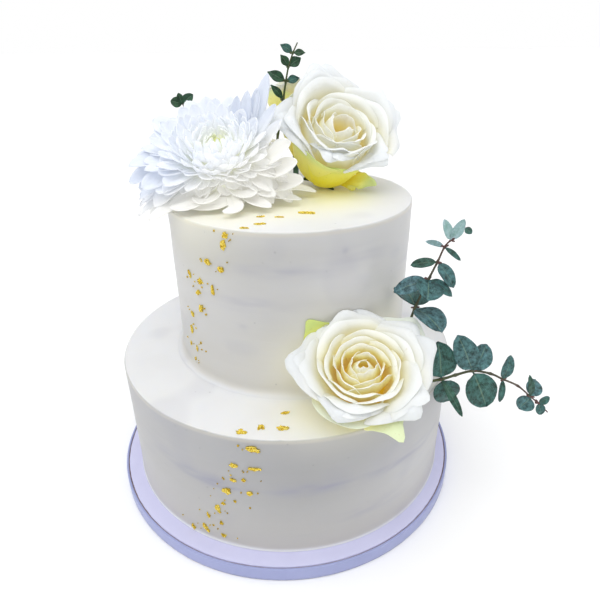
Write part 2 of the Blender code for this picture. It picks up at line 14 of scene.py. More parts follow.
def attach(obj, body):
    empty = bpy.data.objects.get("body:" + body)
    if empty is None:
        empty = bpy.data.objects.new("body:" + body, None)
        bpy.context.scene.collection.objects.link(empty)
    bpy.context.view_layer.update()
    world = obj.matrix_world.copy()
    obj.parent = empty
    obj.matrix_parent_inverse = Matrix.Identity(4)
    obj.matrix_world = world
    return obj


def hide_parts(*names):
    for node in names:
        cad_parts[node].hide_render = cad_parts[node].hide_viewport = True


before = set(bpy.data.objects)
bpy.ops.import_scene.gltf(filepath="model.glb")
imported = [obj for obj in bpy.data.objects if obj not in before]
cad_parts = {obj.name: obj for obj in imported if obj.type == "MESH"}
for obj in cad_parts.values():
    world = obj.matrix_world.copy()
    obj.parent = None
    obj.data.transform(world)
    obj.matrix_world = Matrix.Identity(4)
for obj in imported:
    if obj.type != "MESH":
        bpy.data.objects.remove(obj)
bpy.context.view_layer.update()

MM = 0.001
GOLDEN_TURN = math.radians(137.5)

# Board, in mm like all sizes below
BOARD_RADIUS = 127
BOARD_HEIGHT = 10
SEAM_RADIUS = 125.5
SEAM_WIDTH = 0.75
ROUND_STEPS = 480

# Cake
# shade: how far each tier's side is painted darker, as painted shade
LOWER = {
    "centre": (1.4, 2.7), "radius": 117, "bottom": 10.3, "top": 99,
    "foot_spread": 0.5, "foot_height": 2, "shade": 0.776, "warm_height": 24,
}
UPPER = {
    "centre": (5.3, 6.5), "radius": 80, "bottom": 98.6, "top": 204,
    "foot_spread": 7, "foot_height": 5, "shade": 0.535, "warm_height": 45,
}
RIM_ROUND = 1.0

# Lavender-grey smears in the icing: angle round the tier in degrees, height, half width,
# half height in mm, and strength. The last lower one is painted light: the bluish tint of a lit edge
LOWER_SMEARS = (
    (-116, 63, 22, 4.5, 0.7), (-108, 60, 16, 4, 0.5), (-82, 61.5, 20, 4, 0.9),
    (-52, 61, 42, 3.5, 0.5), (-64, 34, 22, 5, 0.3), (-128, 68, 16, 6, 0.25), (150, 60, 60, 4, 0.5),
    (60, 62, 50, 4, 0.45), (100, 34, 40, 5, 0.3), (-42, 42, 40, 30, 0.12),
)
UPPER_SMEARS = (
    (-98, 182, 30, 3.5, 0.34), (-105, 161, 28, 5, 0.3), (-84, 180, 16, 2.5, 0.2),
    (-58, 186, 26, 7, 0.25), (-109, 145, 3, 2, 0.35), (-66, 191, 2, 2, 0.7), (-20, 170, 20, 6, 0.25),
    (60, 180, 40, 5, 0.3), (140, 160, 50, 6, 0.3),
)

# Painted shade on the icing's sides, given like the smears; a strength below 0 paints a lighter place,
# painted light
LOWER_SHADES = ((-150, 22, 50, 22, -0.13), (-84, 74, 34, 30, 0.13), (-40, 40, 42, 36, -0.23))
UPPER_SHADES = (
    (-135, 188, 30, 16, 0.2), (-104, 187, 34, 16, 0.14), (-95, 146, 16, 14, 0.1),
    (-64, 170, 20, 14, -0.17), (-125, 108, 60, 12, -0.08),
)

# Painted light on the icing near the petals, for their warm bounce and to lift the shade under them:
# place, how far it reaches, and strength
LOWER_PAINTED_LIGHT = ((18, -90, 106, 20, 0.55), (50, -98, 106, 16, 0.2))
UPPER_PAINTED_LIGHT = (
    (34, -4, 204, 26, 0.85), (24, -72, 122, 26, 0.6), (70, -46, 130, 24, 0.4),
    (-36, -34, 204, 30, 0.6), (-2, -30, 204, 24, 0.45), (12, -16, 204, 22, 0.4),
)

# Torn edges fall short of a flake's full size, so it is made larger by this
FLAKE_SIZE = 1.3
FLAKE_SCRAPS = 5
FLAKE_RINGS = 4
FLAKE_SPOKES = 11
# Gold flakes on the sides: angle round the tier in degrees, then height, width and length in mm
LOWER_SIDE_FLAKES = (
    (-97.7, 92.8, 8.4, 4.4), (-103.0, 78.4, 6.5, 3.4), (-97.4, 78.0, 8.0, 3.0),
    (-103.9, 66.9, 3.9, 2.8), (-100.5, 68.4, 3.1, 2.4), (-106.2, 57.6, 6.4, 5.7),
    (-99.2, 57.6, 3.5, 3.9), (-103.8, 49.8, 2.2, 2.2), (-107.7, 45.8, 2.9, 2.2),
    (-110.2, 39.4, 4.8, 7.0), (-113.4, 30.9, 2.6, 3.8), (-109.0, 27.8, 2.6, 3.0),
    (-120.0, 13.6, 3.5, 4.6), (-115.0, 18.4, 4.6, 6.2), (-108.7, 17.0, 3.8, 3.0),
)
UPPER_SIDE_FLAKES = (
    (-114.5, 200.6, 4.1, 3.6), (-115.2, 194.9, 4.2, 6.3), (-124.3, 182.2, 5.4, 4.4),
    (-117.6, 180.0, 4.3, 4.3), (-137.9, 169.7, 3.1, 4.6), (-130.4, 168.2, 4.9, 4.5),
    (-123.1, 163.7, 2.6, 8.6), (-132.7, 159.4, 4.2, 3.5), (-131.7, 148.6, 3.5, 5.8),
    (-139.5, 141.3, 3.6, 4.0), (-142.2, 129.6, 3.3, 6.6), (-138.8, 116.8, 2.1, 4.2),
    (-144.5, 116.5, 3.0, 3.4), (-134.7, 122.8, 1.6, 2.0), (-141.7, 106.4, 1.7, 2.6),
)
# Flakes lying on top: angle in degrees, distance from the middle, width and depth in mm
LEDGE_FLAKES = (
    (-101.3, 111.7, 6.1, 4.1), (-95.9, 106.1, 4.1, 4.1),
    (-89.2, 106.0, 6.2, 4.1), (-88.3, 93.3, 5.0, 2.5),
)
TOP_FLAKES = (
    (-106.2, 53.2, 4.4, 2.6), (-102.3, 66.2, 7.4, 2.5), (-107.5, 75.0, 5.0, 1.6),
    (-75.7, 45.5, 9.7, 4.5), (-94.4, 52.6, 5.8, 1.4),
)

# Roses: middle of the rim, the way the bloom faces, rim radius and depth, how much taller the
# petals behind stand, how much shorter those in front and at the front left are, the first petal's
# turn, how cream it is, how far painted shade darkens it, and where the stem ends
LEDGE_ROSE = {
    "rim": (47, -98, 140), "faces": (-0.03, -0.42, 0.91), "radius": 42.5, "depth": 32,
    "rise": 0.05, "front": 0.25, "left": 0, "turn": 5, "cream": 0.9, "dim": 0.22, "stem_end": 99.4,
}
TOP_ROSE = {
    "rim": (40, 6, 250), "faces": (0.25, -0.55, 0.8), "radius": 48, "depth": 50,
    "rise": 0.22, "front": 0.4, "left": 0.32, "turn": 20, "cream": 0.5, "dim": 0, "stem_end": 204.4,
}
BACK_ROSE = {
    "rim": (10, 71, 268), "faces": (0.05, 0.3, 0.95), "radius": 24, "depth": 27,
    "rise": 0, "front": 0, "left": 0, "turn": 10, "cream": 0.8, "dim": 0, "stem_end": 204.4,
}
# Rose petals, from the bud outwards: how many, tip radius and height as shares of the rim radius
# and depth, slope at foot and tip in degrees, half spread in degrees, the share that the heart
# hides, how far the lip rolls back in degrees, how much the tip is drawn out, and how cream it is
ROSE_LAYERS = (
    (3, 0.06, 0.92, 32, -32, 100, 0.5, 0, 0.02, 1.0),
    (3, 0.15, 0.95, 38, -20, 84, 0.5, 15, 0.05, 1.0),
    (3, 0.25, 0.97, 46, -12, 76, 0.48, 30, -0.04, 1.0),
    (4, 0.35, 0.98, 52, -6, 64, 0.45, 40, 0.03, 0.9),
    (4, 0.46, 1.00, 58, 4, 62, 0.42, 50, -0.03, 0.8),
    (4, 0.60, 1.00, 66, 16, 62, 0.38, 60, 0.03, 0.6),
    (5, 0.76, 0.95, 74, 50, 52, 0.34, 60, 0.08, 0.35),
    (5, 0.86, 0.89, 84, 76, 50, 0.3, 55, 0.12, 0.2),
    (5, 0.93, 0.84, 92, 94, 51, 0.26, 65, 0.15, 0.05),
)
# Guard petals under a rose: heading in degrees (0 left, 90 back, 180 right, 270 front), tip radius
# and height, foot and tip slope, half spread, roll of the lip, drawn-out tip, and how green
LEDGE_GUARDS = (
    (48, 1.06, 0.78, 98, 66, 26, 20, 0.1, 1.0),
    (130, 1.0, 0.74, 98, 66, 34, 20, 0.05, 0.2),
    (243, 1.08, 0.6, 100, 96, 28, 10, 0.2, 0.6),
    (290, 1.06, 0.62, 100, 88, 50, 10, 0.0, 0.35),
)
TOP_GUARDS = (
    (275, 0.94, 0.66, 96, 30, 64, -10, 0.0, 1.0),
    (234, 1.02, 0.42, 92, 100, 22, 120, 0.1, 0.9),
    (335, 1.0, 0.76, 96, 26, 62, 0, 0.0, 0.9),
    (150, 0.85, 0.66, 96, 30, 50, 0, 0.0, 0.3),
    (60, 0.85, 0.7, 96, 30, 50, 0, 0.0, 0.35),
)
BACK_GUARDS = tuple((heading, 0.9, 0.66, 96, 20, 60, 10, 0.0, 0.8) for heading in (20, 140, 260))
# The solid heart that the petals close over: height and radius as shares of depth and radius
ROSE_HEART = ((0, 0.12), (0.12, 0.34), (0.3, 0.36), (0.45, 0.24), (0.6, 0.1), (0.7, 0.05), (0.74, 0.004))
HEART_SIDES = 40
PETAL_ROWS = 26
PETAL_COLUMNS = 31
PETAL_THICKNESS = 0.4
PETAL_START = (2.5, 1)
PETAL_PULL = 0.42
PETAL_SHOULDER = 0.17
PETAL_FOOT_WIDTH = 0.4
PETAL_TWIST = 0.07
PETAL_CLEARANCE = 0.7
SEPALS = 5
SEPAL_LENGTH = 17
LIP_LENGTH = (3, 6.5)

# Chrysanthemum
MUM_CENTRE = (-36, -10, 224)
MUM_FACES = (0, -0.5, 0.866)
MUM_SEED = 7
MUM_HEART_RADIUS = 20
MUM_HEART_GRID = (24, 48)
# Rows of petals: angle from the axis in degrees, reach and width in mm, how far they curve in
# towards the axis (or, below 0, away from it) in degrees, and how green they are
MUM_ROWS = (
    (3, 23, 2.6, 10, 1.0), (7, 25, 3.4, 24, 0.6), (12, 27.5, 4.6, 30, 0.15), (18, 29.5, 5.6, 30, 0),
    (25, 31.5, 6.8, 28, 0), (33, 34, 7.8, 24, 0), (41, 36.5, 8.6, 20, 0), (50, 40, 9.6, 14, 0),
    (60, 44, 10.4, 6, 0), (71, 48, 11, -2, 0), (83, 52, 11.5, -8, 0), (96, 55, 11.5, -12, 0),
    (109, 57, 11, -12, 0), (122, 53, 10.5, -12, 0), (136, 46, 9.5, -10, 0), (149, 35, 8.5, -6, 0),
)
MUM_OVERLAP = 0.76
MUM_FRONT_SHORTER = 0.5
MUM_RIGHT_SHORTER = 0.22
# Rows of green scales behind it: angle of their feet from the axis in degrees, and how many
BRACT_ROWS = ((177, 6), (166, 10), (156, 13))
BRACT_LENGTH = 20
MUM_PETAL_ROWS = 12
MUM_ROW_EASE = 1.35
MUM_PETAL_COLUMNS = 9
MUM_PETAL_THICKNESS = 0.4
# Petals out of line: the path in mm, the width, and the way that the hollow side looks
MUM_LOOSE_PETALS = (
    (((-16, -8, 214), (-2, -7, 211), (12, -4, 209.5), (22, -3, 206.5)), 11, (0, -0.3, 1)),
    (((-20, -14, 212), (-8, -20, 210), (4, -22, 208.5), (13, -22, 206.5)), 11, (0, -0.3, 1)),
    (((-52, -20, 218), (-66, -25, 218), (-82, -31, 212)), 10, (-0.2, -0.4, 1)),
    (((-50, -22, 214), (-64, -28, 212), (-76, -31, 207), (-84, -33, 201)), 9, (-0.2, -0.5, 1)),
    (((-46, -24, 213), (-58, -34, 210), (-66, -41, 207), (-74, -46, 202)), 10, (0, -0.5, 1)),
    (((-56, -14, 222), (-74, -17, 224), (-91, -20, 218)), 12, (-0.1, -0.5, 1)),
    (((-56, -10, 229), (-72, -13, 234), (-89, -15, 229)), 12, (-0.1, -0.5, 1)),
    (((-18, -6, 238), (-13, -6, 252), (-9, -8, 266), (-5, -10, 278)), 8, (-0.4, -1, 0.2)),
    (((-21, -6, 240), (-15, -5, 256), (-11, -8, 270)), 7, (-0.6, -1, 0.2)),
    (((-24, -6, 240), (-20, -5, 256), (-17, -8, 269)), 7, (-0.2, -1, 0.2)),
    (((-28, -4, 240), (-26, -3, 254), (-24, -6, 266)), 7, (0, -1, 0.2)),
    (((-31, -12, 214), (-27, -26, 211), (-37, -37, 209), (-52, -34, 209), (-57, -22, 211)), 9,
     (0, -0.6, 1)),
    (((-34, -14, 216), (-44, -23, 213), (-54, -21, 212), (-58, -10, 214)), 7, (0, -0.2, 1)),
    (((-26, -14, 216), (-20, -24, 215), (-11, -26, 216)), 9, (0.2, -0.6, 1)),
    (((-32, -22, 214), (-27, -34, 210), (-24, -42, 208), (-31, -49, 207)), 9, (0, -0.5, 1)),
    (((-40, -24, 214), (-45, -35, 211), (-52, -42, 209), (-62, -43, 208)), 9, (0, -0.5, 1)),
    (((-44, -24, 217), (-53, -33, 213), (-63, -38, 209)), 9, (-0.1, -0.5, 1)),
    (((-26, -22, 214), (-16, -32, 210), (-4, -37, 207)), 10, (0.1, -0.5, 1)),
    (((-36, -24, 216), (-37, -34, 213), (-44, -39, 211), (-50, -36, 213)), 8, (0, -0.4, 1)),
    (((-30, -24, 217), (-24, -32, 214), (-17, -34, 214), (-13, -29, 217)), 8, (0.1, -0.4, 1)),
    (((-22, -20, 219), (-12, -28, 216), (-2, -32, 212)), 9, (0.1, -0.6, 1)),
    (((-14, -16, 226), (-3, -24, 234), (8, -30, 243)), 13, (-0.6, -0.7, 0.8)),
    (((-12, -18, 221), (0, -26, 226), (12, -31, 232)), 12, (-0.5, -0.7, 0.8)),
    (((-10, -14, 214), (3, -22, 217), (15, -28, 221)), 12, (-0.3, -0.7, 0.8)),
    (((-16, -10, 232), (-6, -18, 243), (4, -25, 254)), 9, (-0.6, -0.8, 0.5)),
    (((-18, -8, 236), (-9, -14, 250), (0, -20, 262)), 8, (-0.6, -0.8, 0.4)),
)

# Eucalyptus: stem points in mm, then leaves as stem point, tip, width, and 1 to face the front
STEM_RADIUS = 0.85
STEM_STEPS = 8
BUDS = 3
TUBE_SIDES = 10
LEAF_ROWS = 15
LEAF_COLUMNS = 11
LEAF_THICKNESS = 0.45
UPRIGHT_STEM = (
    (68, -53, 99.6), (73, -56, 120), (78, -58, 140), (81, -58, 152), (87, -58, 170),
    (91, -58, 181), (94, -58, 190), (97, -58, 194), (104, -58, 201),
)
UPRIGHT_LEAVES = (
    (3, (94, -75, 145), 21, 0.2), (3, (78, -38, 155), 24, 0.1), (4, (68, -56, 161), 10, 0.5),
    (4, (84, -73, 164), 17, 0.3), (4, (100, -64, 162), 8, 0.4), (5, (77, -53, 177), 6, 0.6),
    (5, (100, -65, 168), 8.5, 0.6), (6, (84, -54, 192), 3.5, 0.6), (6, (103, -61, 183), 3, 0.8),
    (7, (92, -58, 206), 5, 1.0), (7, (103, -58, 206), 6, 1.0), (8, (107, -61, 199), 4, 1.0),
)
SIDE_STEM = (
    (76, -62, 100.4), (84, -68, 104), (98, -72, 110), (106, -72, 113), (116, -72, 116),
    (127, -72, 114), (135, -72, 110), (145, -72, 105), (154, -72, 97), (160, -72, 92),
    (167, -72, 85),
)
SIDE_LEAVES = (
    (2, (95, -66, 133), 18, 1.0), (2, (106, -68, 91), 17, 1.0), (2, (109, -86, 93), 5, 0.9),
    (4, (105, -69, 139), 15, 1.0), (4, (124, -66, 131), 14, 1.0), (4, (127, -75, 92), 19, 1.0),
    (6, (137, -72, 127), 7, 1.0), (6, (134, -76, 96), 4, 1.0), (8, (149, -75, 115), 4, 0.9),
    (8, (159, -64, 104), 11, 1.0), (8, (148, -74, 89), 12, 1.0), (9, (167, -70, 95), 5, 1.0),
    (9, (163, -73, 84), 6, 1.0),
)
TOP_STEM = (
    (-6, 37, 204.4), (-3, 38, 240), (1, 38, 260), (3, 38, 271), (5, 38, 280), (8, 38, 288),
    (11, 38, 294),
)
TOP_LEAVES = (
    (2, (-7, 38, 269), 5, 0.8), (3, (-9, 38, 277), 7, 0.9), (3, (12, 40, 273), 5.5, 0.9),
    (4, (0, 37, 287), 5.5, 0.9), (4, (13, 40, 285), 7, 0.9), (5, (0, 38, 293), 5.5, 0.9),
    (5, (16, 38, 288), 4.5, 0.9),
)
LEFT_STEM = (
    (-50, 46, 204.6), (-58, 47, 235), (-66, 47, 250), (-69, 46, 257),
)
LEFT_LEAVES = (
    (3, (-77, 46, 259), 7, 1.0), (3, (-61, 45, 263), 7, 1.0), (3, (-71, 45, 264), 5, 1.0),
    (2, (-60, 44, 253), 7, 1.0), (1, (-51, 47, 259), 6, 0.9),
)

# How much pale bloom the leaves of each sprig have, in turn; set higher where a leaf shows a bluish
# sheen, so partly painted highlight
UPRIGHT_BLOOMS = (0.65, 0.5, 0.7, 0.6, 0.6, 0.3, 0.7, 1.0, 0.5, 0.95, 0.95, 0.4)
SIDE_BLOOMS = (0.5, 0.4, 0.3, 0.65, 0.7, 0.45)
TOP_BLOOMS = (0.05, 0.1, 0.4)
LEFT_BLOOMS = (0.05, 0.1)

# Camera, solved from the rims of the board and the tiers
CAMERA_PLACE = Vector((17.2, -327.6, 291.4)) * MM
CAMERA_RIGHT = Vector((0.99986987, 0.01261262, -0.01005781))
CAMERA_UP = Vector((0.00337684, 0.44602152, 0.89501587))
CAMERA_AHEAD = Vector((-0.01577449, 0.89493336, -0.44592089))
CAMERA_LENS = 30.48
CAMERA_SENSOR = 36

# Painted light: a faint glow of the petals' own, for the light that passes through thin petals,
# and how much more of it the chrysanthemum has
PETAL_GLOW = 0.125
MUM_GLOW = 1.3

# Studio, in metres
FLOOR_REACH = 40
HORIZON = (1, 1, 1)
DOME = (0.40, 0.405, 0.415)
# Broad suns: name, power, softness, and turns about x, y and z in degrees
SUNS = (("overhead", 1.55, 90, 4, -5, 0), ("front", 0.85, 60, 34, -12, 0))
LEFT_POWER = 1.0
RIGHT_POWER = 1.5
SIDE_LIGHT_PLACE = (1.1, -0.1, 0.55)
SIDE_LIGHT_TARGET = (0, 0, 0.12)
SIDE_LIGHT_SIZE = 0.8


def add_object(name, data):
    """A new object, put in the scene."""
    obj = bpy.data.objects.new(name, data)
    bpy.context.scene.collection.objects.link(obj)
    return obj


class Piece:
    """Collects shapes, in mm, with values for their material at each point, into one object."""

    def __init__(self):
        self.points = []
        self.faces = []
        self.values = []
        self.count = 0

    def add(self, points, faces, **values):
        """Add one shape. A value is one number or one for each point."""
        points = np.asarray(points, float).reshape(-1, 3)
        self.points.append(points)
        for block in faces:
            self.faces += (np.asarray(block) + self.count).tolist()
        self.values.append({k: np.broadcast_to(v, len(points)) for k, v in values.items()})
        self.count += len(points)

    def sheet(self, grid, thickness, depth, side, **values):
        """Add a grid of points as a thick sheet, with the place along it and across it."""
        points, faces = thick_sheet(grid, thickness)
        depth, side = (both_sides(np.broadcast_to(v, grid.shape[:2])) for v in (depth, side))
        self.add(points, faces, depth=depth, side=side, **values)

    def make(self, name, surface, stands_for=(), smooth=True):
        """Make the object, ride it on the cake and hide the CAD nodes that it stands for."""
        mesh = bpy.data.meshes.new(name)
        mesh.from_pydata((np.concatenate(self.points) * MM).tolist(), [], self.faces)
        for key in self.values[0]:
            layer = mesh.attributes.new(key, "FLOAT", "POINT")
            layer.data.foreach_set("value", np.concatenate([v[key] for v in self.values]))
        if smooth:
            mesh.shade_smooth()
        mesh.materials.append(surface)
        obj = add_object(name, mesh)
        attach(obj, "root")
        if stands_for:
            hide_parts(*stands_for)


def smooth_step(values):
    """0 below 0, 1 above 1, and a soft S between."""
    values = np.clip(values, 0, 1)
    return values * values * (3 - 2 * values)


def noise_at(points, size, seed):
    """Smooth noise from about -1 to 1 at each point, with bumps of this size."""
    flat = np.asarray(points, float).reshape(-1, 3) / size + seed * 17.3
    found = np.array([noise.noise(p) for p in flat.tolist()])
    return found.reshape(np.shape(points)[:-1])


def unit(vectors):
    """Each vector at length 1."""
    length = np.linalg.norm(vectors, axis=-1, keepdims=True)
    return vectors / np.maximum(length, 1e-9)


def frame_of(direction):
    """Three unit vectors: the axis, one level across it, and one as upright as can be."""
    axis = unit(np.array(direction, float))
    across = unit(np.cross(axis, (0, 0, 1)))
    return axis, across, np.cross(across, axis)


def turns_of(steps):
    """Angles evenly spaced round a circle."""
    return np.linspace(0, math.tau, steps, endpoint=False)


def ways_round(axes, turn):
    """The unit vector or vectors at a turn from the second of three axes towards the third."""
    turn = np.asarray(turn)[..., None]
    return axes[1] * np.cos(turn) + axes[2] * np.sin(turn)


def grid_axes(rows, columns, ease=1):
    """Places along a grid, from 0 to 1 and closer together at the end, and across it, from -1 to 1."""
    return 1 - (1 - np.linspace(0, 1, rows)[:, None]) ** ease, np.linspace(-1, 1, columns)[None, :]


def grid_faces(rows, columns, closed=False, ring=False):
    """Quads of a grid of points, which is closed round its columns, and its rows too, if asked."""
    index = np.arange(rows * columns).reshape(rows, columns)
    if closed:
        index = np.concatenate([index, index[:, :1]], axis=1)
    if ring:
        index = np.concatenate([index, index[:1]])
    corners = (index[:-1, :-1], index[1:, :-1], index[1:, 1:], index[:-1, 1:])
    return np.stack(corners, -1).reshape(-1, 4)


def capped(rows, sides):
    """Faces of a tube of points: quads round it, and a flat cap at each end."""
    ring = np.arange(sides)
    caps = np.array([ring[::-1], ring + (rows - 1) * sides])
    return grid_faces(rows, sides, closed=True), caps


def thick_sheet(grid, thickness):
    """Front, back and rim of a grid of points; thickness is one number or one for each point."""
    along = np.gradient(grid, axis=0)
    across = np.gradient(grid, axis=1)
    normal = unit(np.cross(along, across))
    half = normal * np.broadcast_to(thickness, grid.shape[:2])[..., None] / 2
    rows, columns = grid.shape[:2]
    count = rows * columns
    index = np.arange(count).reshape(rows, columns)
    front = grid_faces(rows, columns)
    rim = np.concatenate([index[0], index[1:, -1], index[-1, -2::-1], index[-2:0:-1, 0]])
    after = np.roll(rim, -1)
    side = np.stack([rim, after, after + count, rim + count], -1)
    points = np.concatenate([(grid + half).reshape(-1, 3), (grid - half).reshape(-1, 3)])
    return points, (front, front[:, ::-1] + count, side)


def both_sides(values):
    """A grid of values for the front and the back of a thick sheet."""
    return np.tile(np.asarray(values, float).reshape(-1), 2)


def tube(path, radii, sides=TUBE_SIDES):
    """Points and faces of a round tube along a path, with flat ends."""
    path = np.asarray(path, float)
    along = unit(np.gradient(path, axis=0))
    across = unit(np.cross(along, (0.31, 0.95, 0.05)))
    upright = np.cross(across, along)
    rings = ways_round((along[:, None], across[:, None], upright[:, None]), turns_of(sides))
    points = path[:, None] + rings * np.broadcast_to(radii, len(path))[:, None, None]
    return points.reshape(-1, 3), capped(len(path), sides)


def curve_through(points, steps):
    """A smooth path through points, with this many steps between two of them."""
    points = [Vector(p) for p in points]
    path = []
    for i in range(len(points) - 1):
        before = points[max(i - 1, 0)]
        after = points[min(i + 2, len(points) - 1)]
        a, b = points[i], points[i + 1]
        for k in range(steps):
            t = k / steps
            bend = 2 * a + (b - before) * t + (2 * before - 5 * a + 4 * b - after) * t * t
            path.append((bend + (3 * a - before - 3 * b + after) * t**3) / 2)
    return np.array([*path, points[-1]])


def put(tree, kind, inputs=(), **settings):
    """Add a node, set its properties, and set or link its inputs."""
    made = tree.nodes.new(kind)
    for key, value in settings.items():
        setattr(made, key, value)
    for key, value in dict(inputs).items():
        if isinstance(value, bpy.types.NodeSocket):
            tree.links.new(value, made.inputs[key])
        else:
            made.inputs[key].default_value = value
    return made


def value_of(tree, name):
    """The value that a mesh holds at each point under this name."""
    return put(tree, "ShaderNodeAttribute", attribute_name=name).outputs["Fac"]


def colours(tree, factor, *stops):
    """A colour that runs through stops of (position, colour)."""
    made = put(tree, "ShaderNodeValToRGB", {"Fac": factor})
    ramp = made.color_ramp
    while len(ramp.elements) < len(stops):
        ramp.elements.new(0.5)
    for element, (place, colour) in zip(ramp.elements, stops):
        element.position = place
        element.color = (*colour, 1)
    return made.outputs["Color"]


def blend(tree, factor, first, second):
    """A mix of two colours."""
    inputs = {0: factor, 6: first, 7: second}
    return put(tree, "ShaderNodeMix", inputs, data_type="RGBA").outputs[2]


def sums(tree, operation, *values):
    """One step of arithmetic on numbers."""
    inputs = dict(enumerate(values))
    return put(tree, "ShaderNodeMath", inputs, operation=operation).outputs["Value"]


def tinted(tree, colour, **tints):
    """A colour mixed with others, each as far as the mesh's value of that name says."""
    for name, tint in tints.items():
        colour = blend(tree, value_of(tree, name), colour, (*tint, 1))
    return colour


def grain(tree, place, scale, detail=3.0, roughness=0.55):
    """Noise from 0 to 1 at a place, at this many bumps a metre."""
    inputs = {"Vector": place, "Scale": scale, "Detail": detail, "Roughness": roughness}
    return put(tree, "ShaderNodeTexNoise", inputs).outputs["Fac"]


def stretched(tree, place, scale):
    """A place scaled by three factors."""
    return put(tree, "ShaderNodeMapping", {"Vector": place, "Scale": scale}).outputs["Vector"]


def streaks(tree, across, along, detail):
    """Noise drawn out along a petal, with this many bumps over its half width and its length."""
    inputs = {"X": value_of(tree, "side"), "Y": value_of(tree, "depth")}
    place = put(tree, "ShaderNodeCombineXYZ", inputs).outputs["Vector"]
    return grain(tree, stretched(tree, place, (across, along, 1)), 1, detail)


def spread(tree, value, low, high, to_low=0.0, to_high=1.0):
    """A number moved from one range to another, and kept within it."""
    inputs = {"Value": value, 1: low, 2: high, 3: to_low, 4: to_high}
    return put(tree, "ShaderNodeMapRange", inputs).outputs["Result"]


def surface(name, roughness, **settings):
    """A material, its tree, its shader, and the place on the object that its textures use."""
    made = bpy.data.materials.new(name)
    made.use_nodes = True
    tree = made.node_tree
    shader = tree.nodes["Principled BSDF"]
    shader.inputs["Roughness"].default_value = roughness
    for key, value in settings.items():
        shader.inputs[key.replace("_", " ")].default_value = value
    place = put(tree, "ShaderNodeTexCoord").outputs["Object"]
    return made, tree, shader, place


def colour_and_relief(tree, shader, colour, height, strength, distance):
    """Give the shader its colour, and relief from a height."""
    tree.links.new(colour, shader.inputs["Base Color"])
    inputs = {"Height": height, "Strength": strength, "Distance": distance}
    tree.links.new(put(tree, "ShaderNodeBump", inputs).outputs["Normal"], shader.inputs["Normal"])


def icing_surface():
    """Smooth buttercream: off-white, faint smears and pits, warmer near rims and feet; painted shade on
    the sides and in the pits, and warm painted light near the petals.
    """
    made, tree, shader, place = surface(
        "buttercream", 0.42,
        Subsurface_Weight=0.25, Subsurface_Radius=(1.0, 0.85, 0.6), Subsurface_Scale=0.004,
        Specular_IOR_Level=0.45, Coat_Weight=0.08, Coat_Roughness=0.3,
    )
    drag = stretched(tree, place, (1, 1, 5))
    cloud = grain(tree, drag, 14, 4)
    colour = colours(
        tree, cloud, (0.3, (0.765, 0.765, 0.76)), (0.5, (0.795, 0.80, 0.805)),
        (0.72, (0.77, 0.78, 0.805)),
    )
    # Painted shade darkens the sides, and the pale yellow tint near the petals is painted light
    colour = tinted(
        tree, colour, shade=(0.30, 0.30, 0.31), warm=(0.64, 0.605, 0.51), smear=(0.28, 0.28, 0.38),
        glow=(1.0, 0.97, 0.74),
    )
    scrape = grain(tree, stretched(tree, place, (12, 12, 900)), 1, 2)
    pores = put(tree, "ShaderNodeTexVoronoi", {"Vector": place, "Scale": 150.0})
    pit = spread(tree, pores.outputs["Distance"], 0.03, 0.13)
    sparse = spread(tree, grain(tree, place, 45, 1), 0.56, 0.6)
    pit = sums(tree, "MAXIMUM", pit, sums(tree, "SUBTRACT", 1.0, sparse))
    # The pits are also painted darker: painted shade in them
    colour = blend(tree, spread(tree, pit, 0.0, 1.0, 0.3, 0.0), colour, (0.22, 0.22, 0.25, 1))
    fine = grain(tree, place, 900, 2)
    height = sums(tree, "MULTIPLY_ADD", scrape, 0.5, pit)
    height = sums(tree, "MULTIPLY_ADD", fine, 0.12, height)
    colour_and_relief(tree, shader, colour, height, 0.3, 0.0004)
    return made


def paper_surface(name, light, dark):
    """Satin board paper with a fine grain and soft mottling."""
    made, tree, shader, place = surface(name, 0.5, Specular_IOR_Level=0.4, Sheen_Weight=0.1)
    colour = colours(tree, grain(tree, place, 60, 5, 0.65), (0.3, dark), (0.7, light))
    weave = grain(tree, place, 1600, 2)
    colour_and_relief(tree, shader, colour, weave, 0.15, 0.0002)
    return made


def seam_surface():
    """The raw brown edge of the card under the paper."""
    made, tree, shader, place = surface("card_edge", 0.8)
    colour = colours(tree, grain(tree, place, 300), (0.3, (0.20, 0.14, 0.14)), (0.7, (0.36, 0.28, 0.28)))
    colour_and_relief(tree, shader, colour, grain(tree, place, 1500), 0.4, 0.0002)
    return made


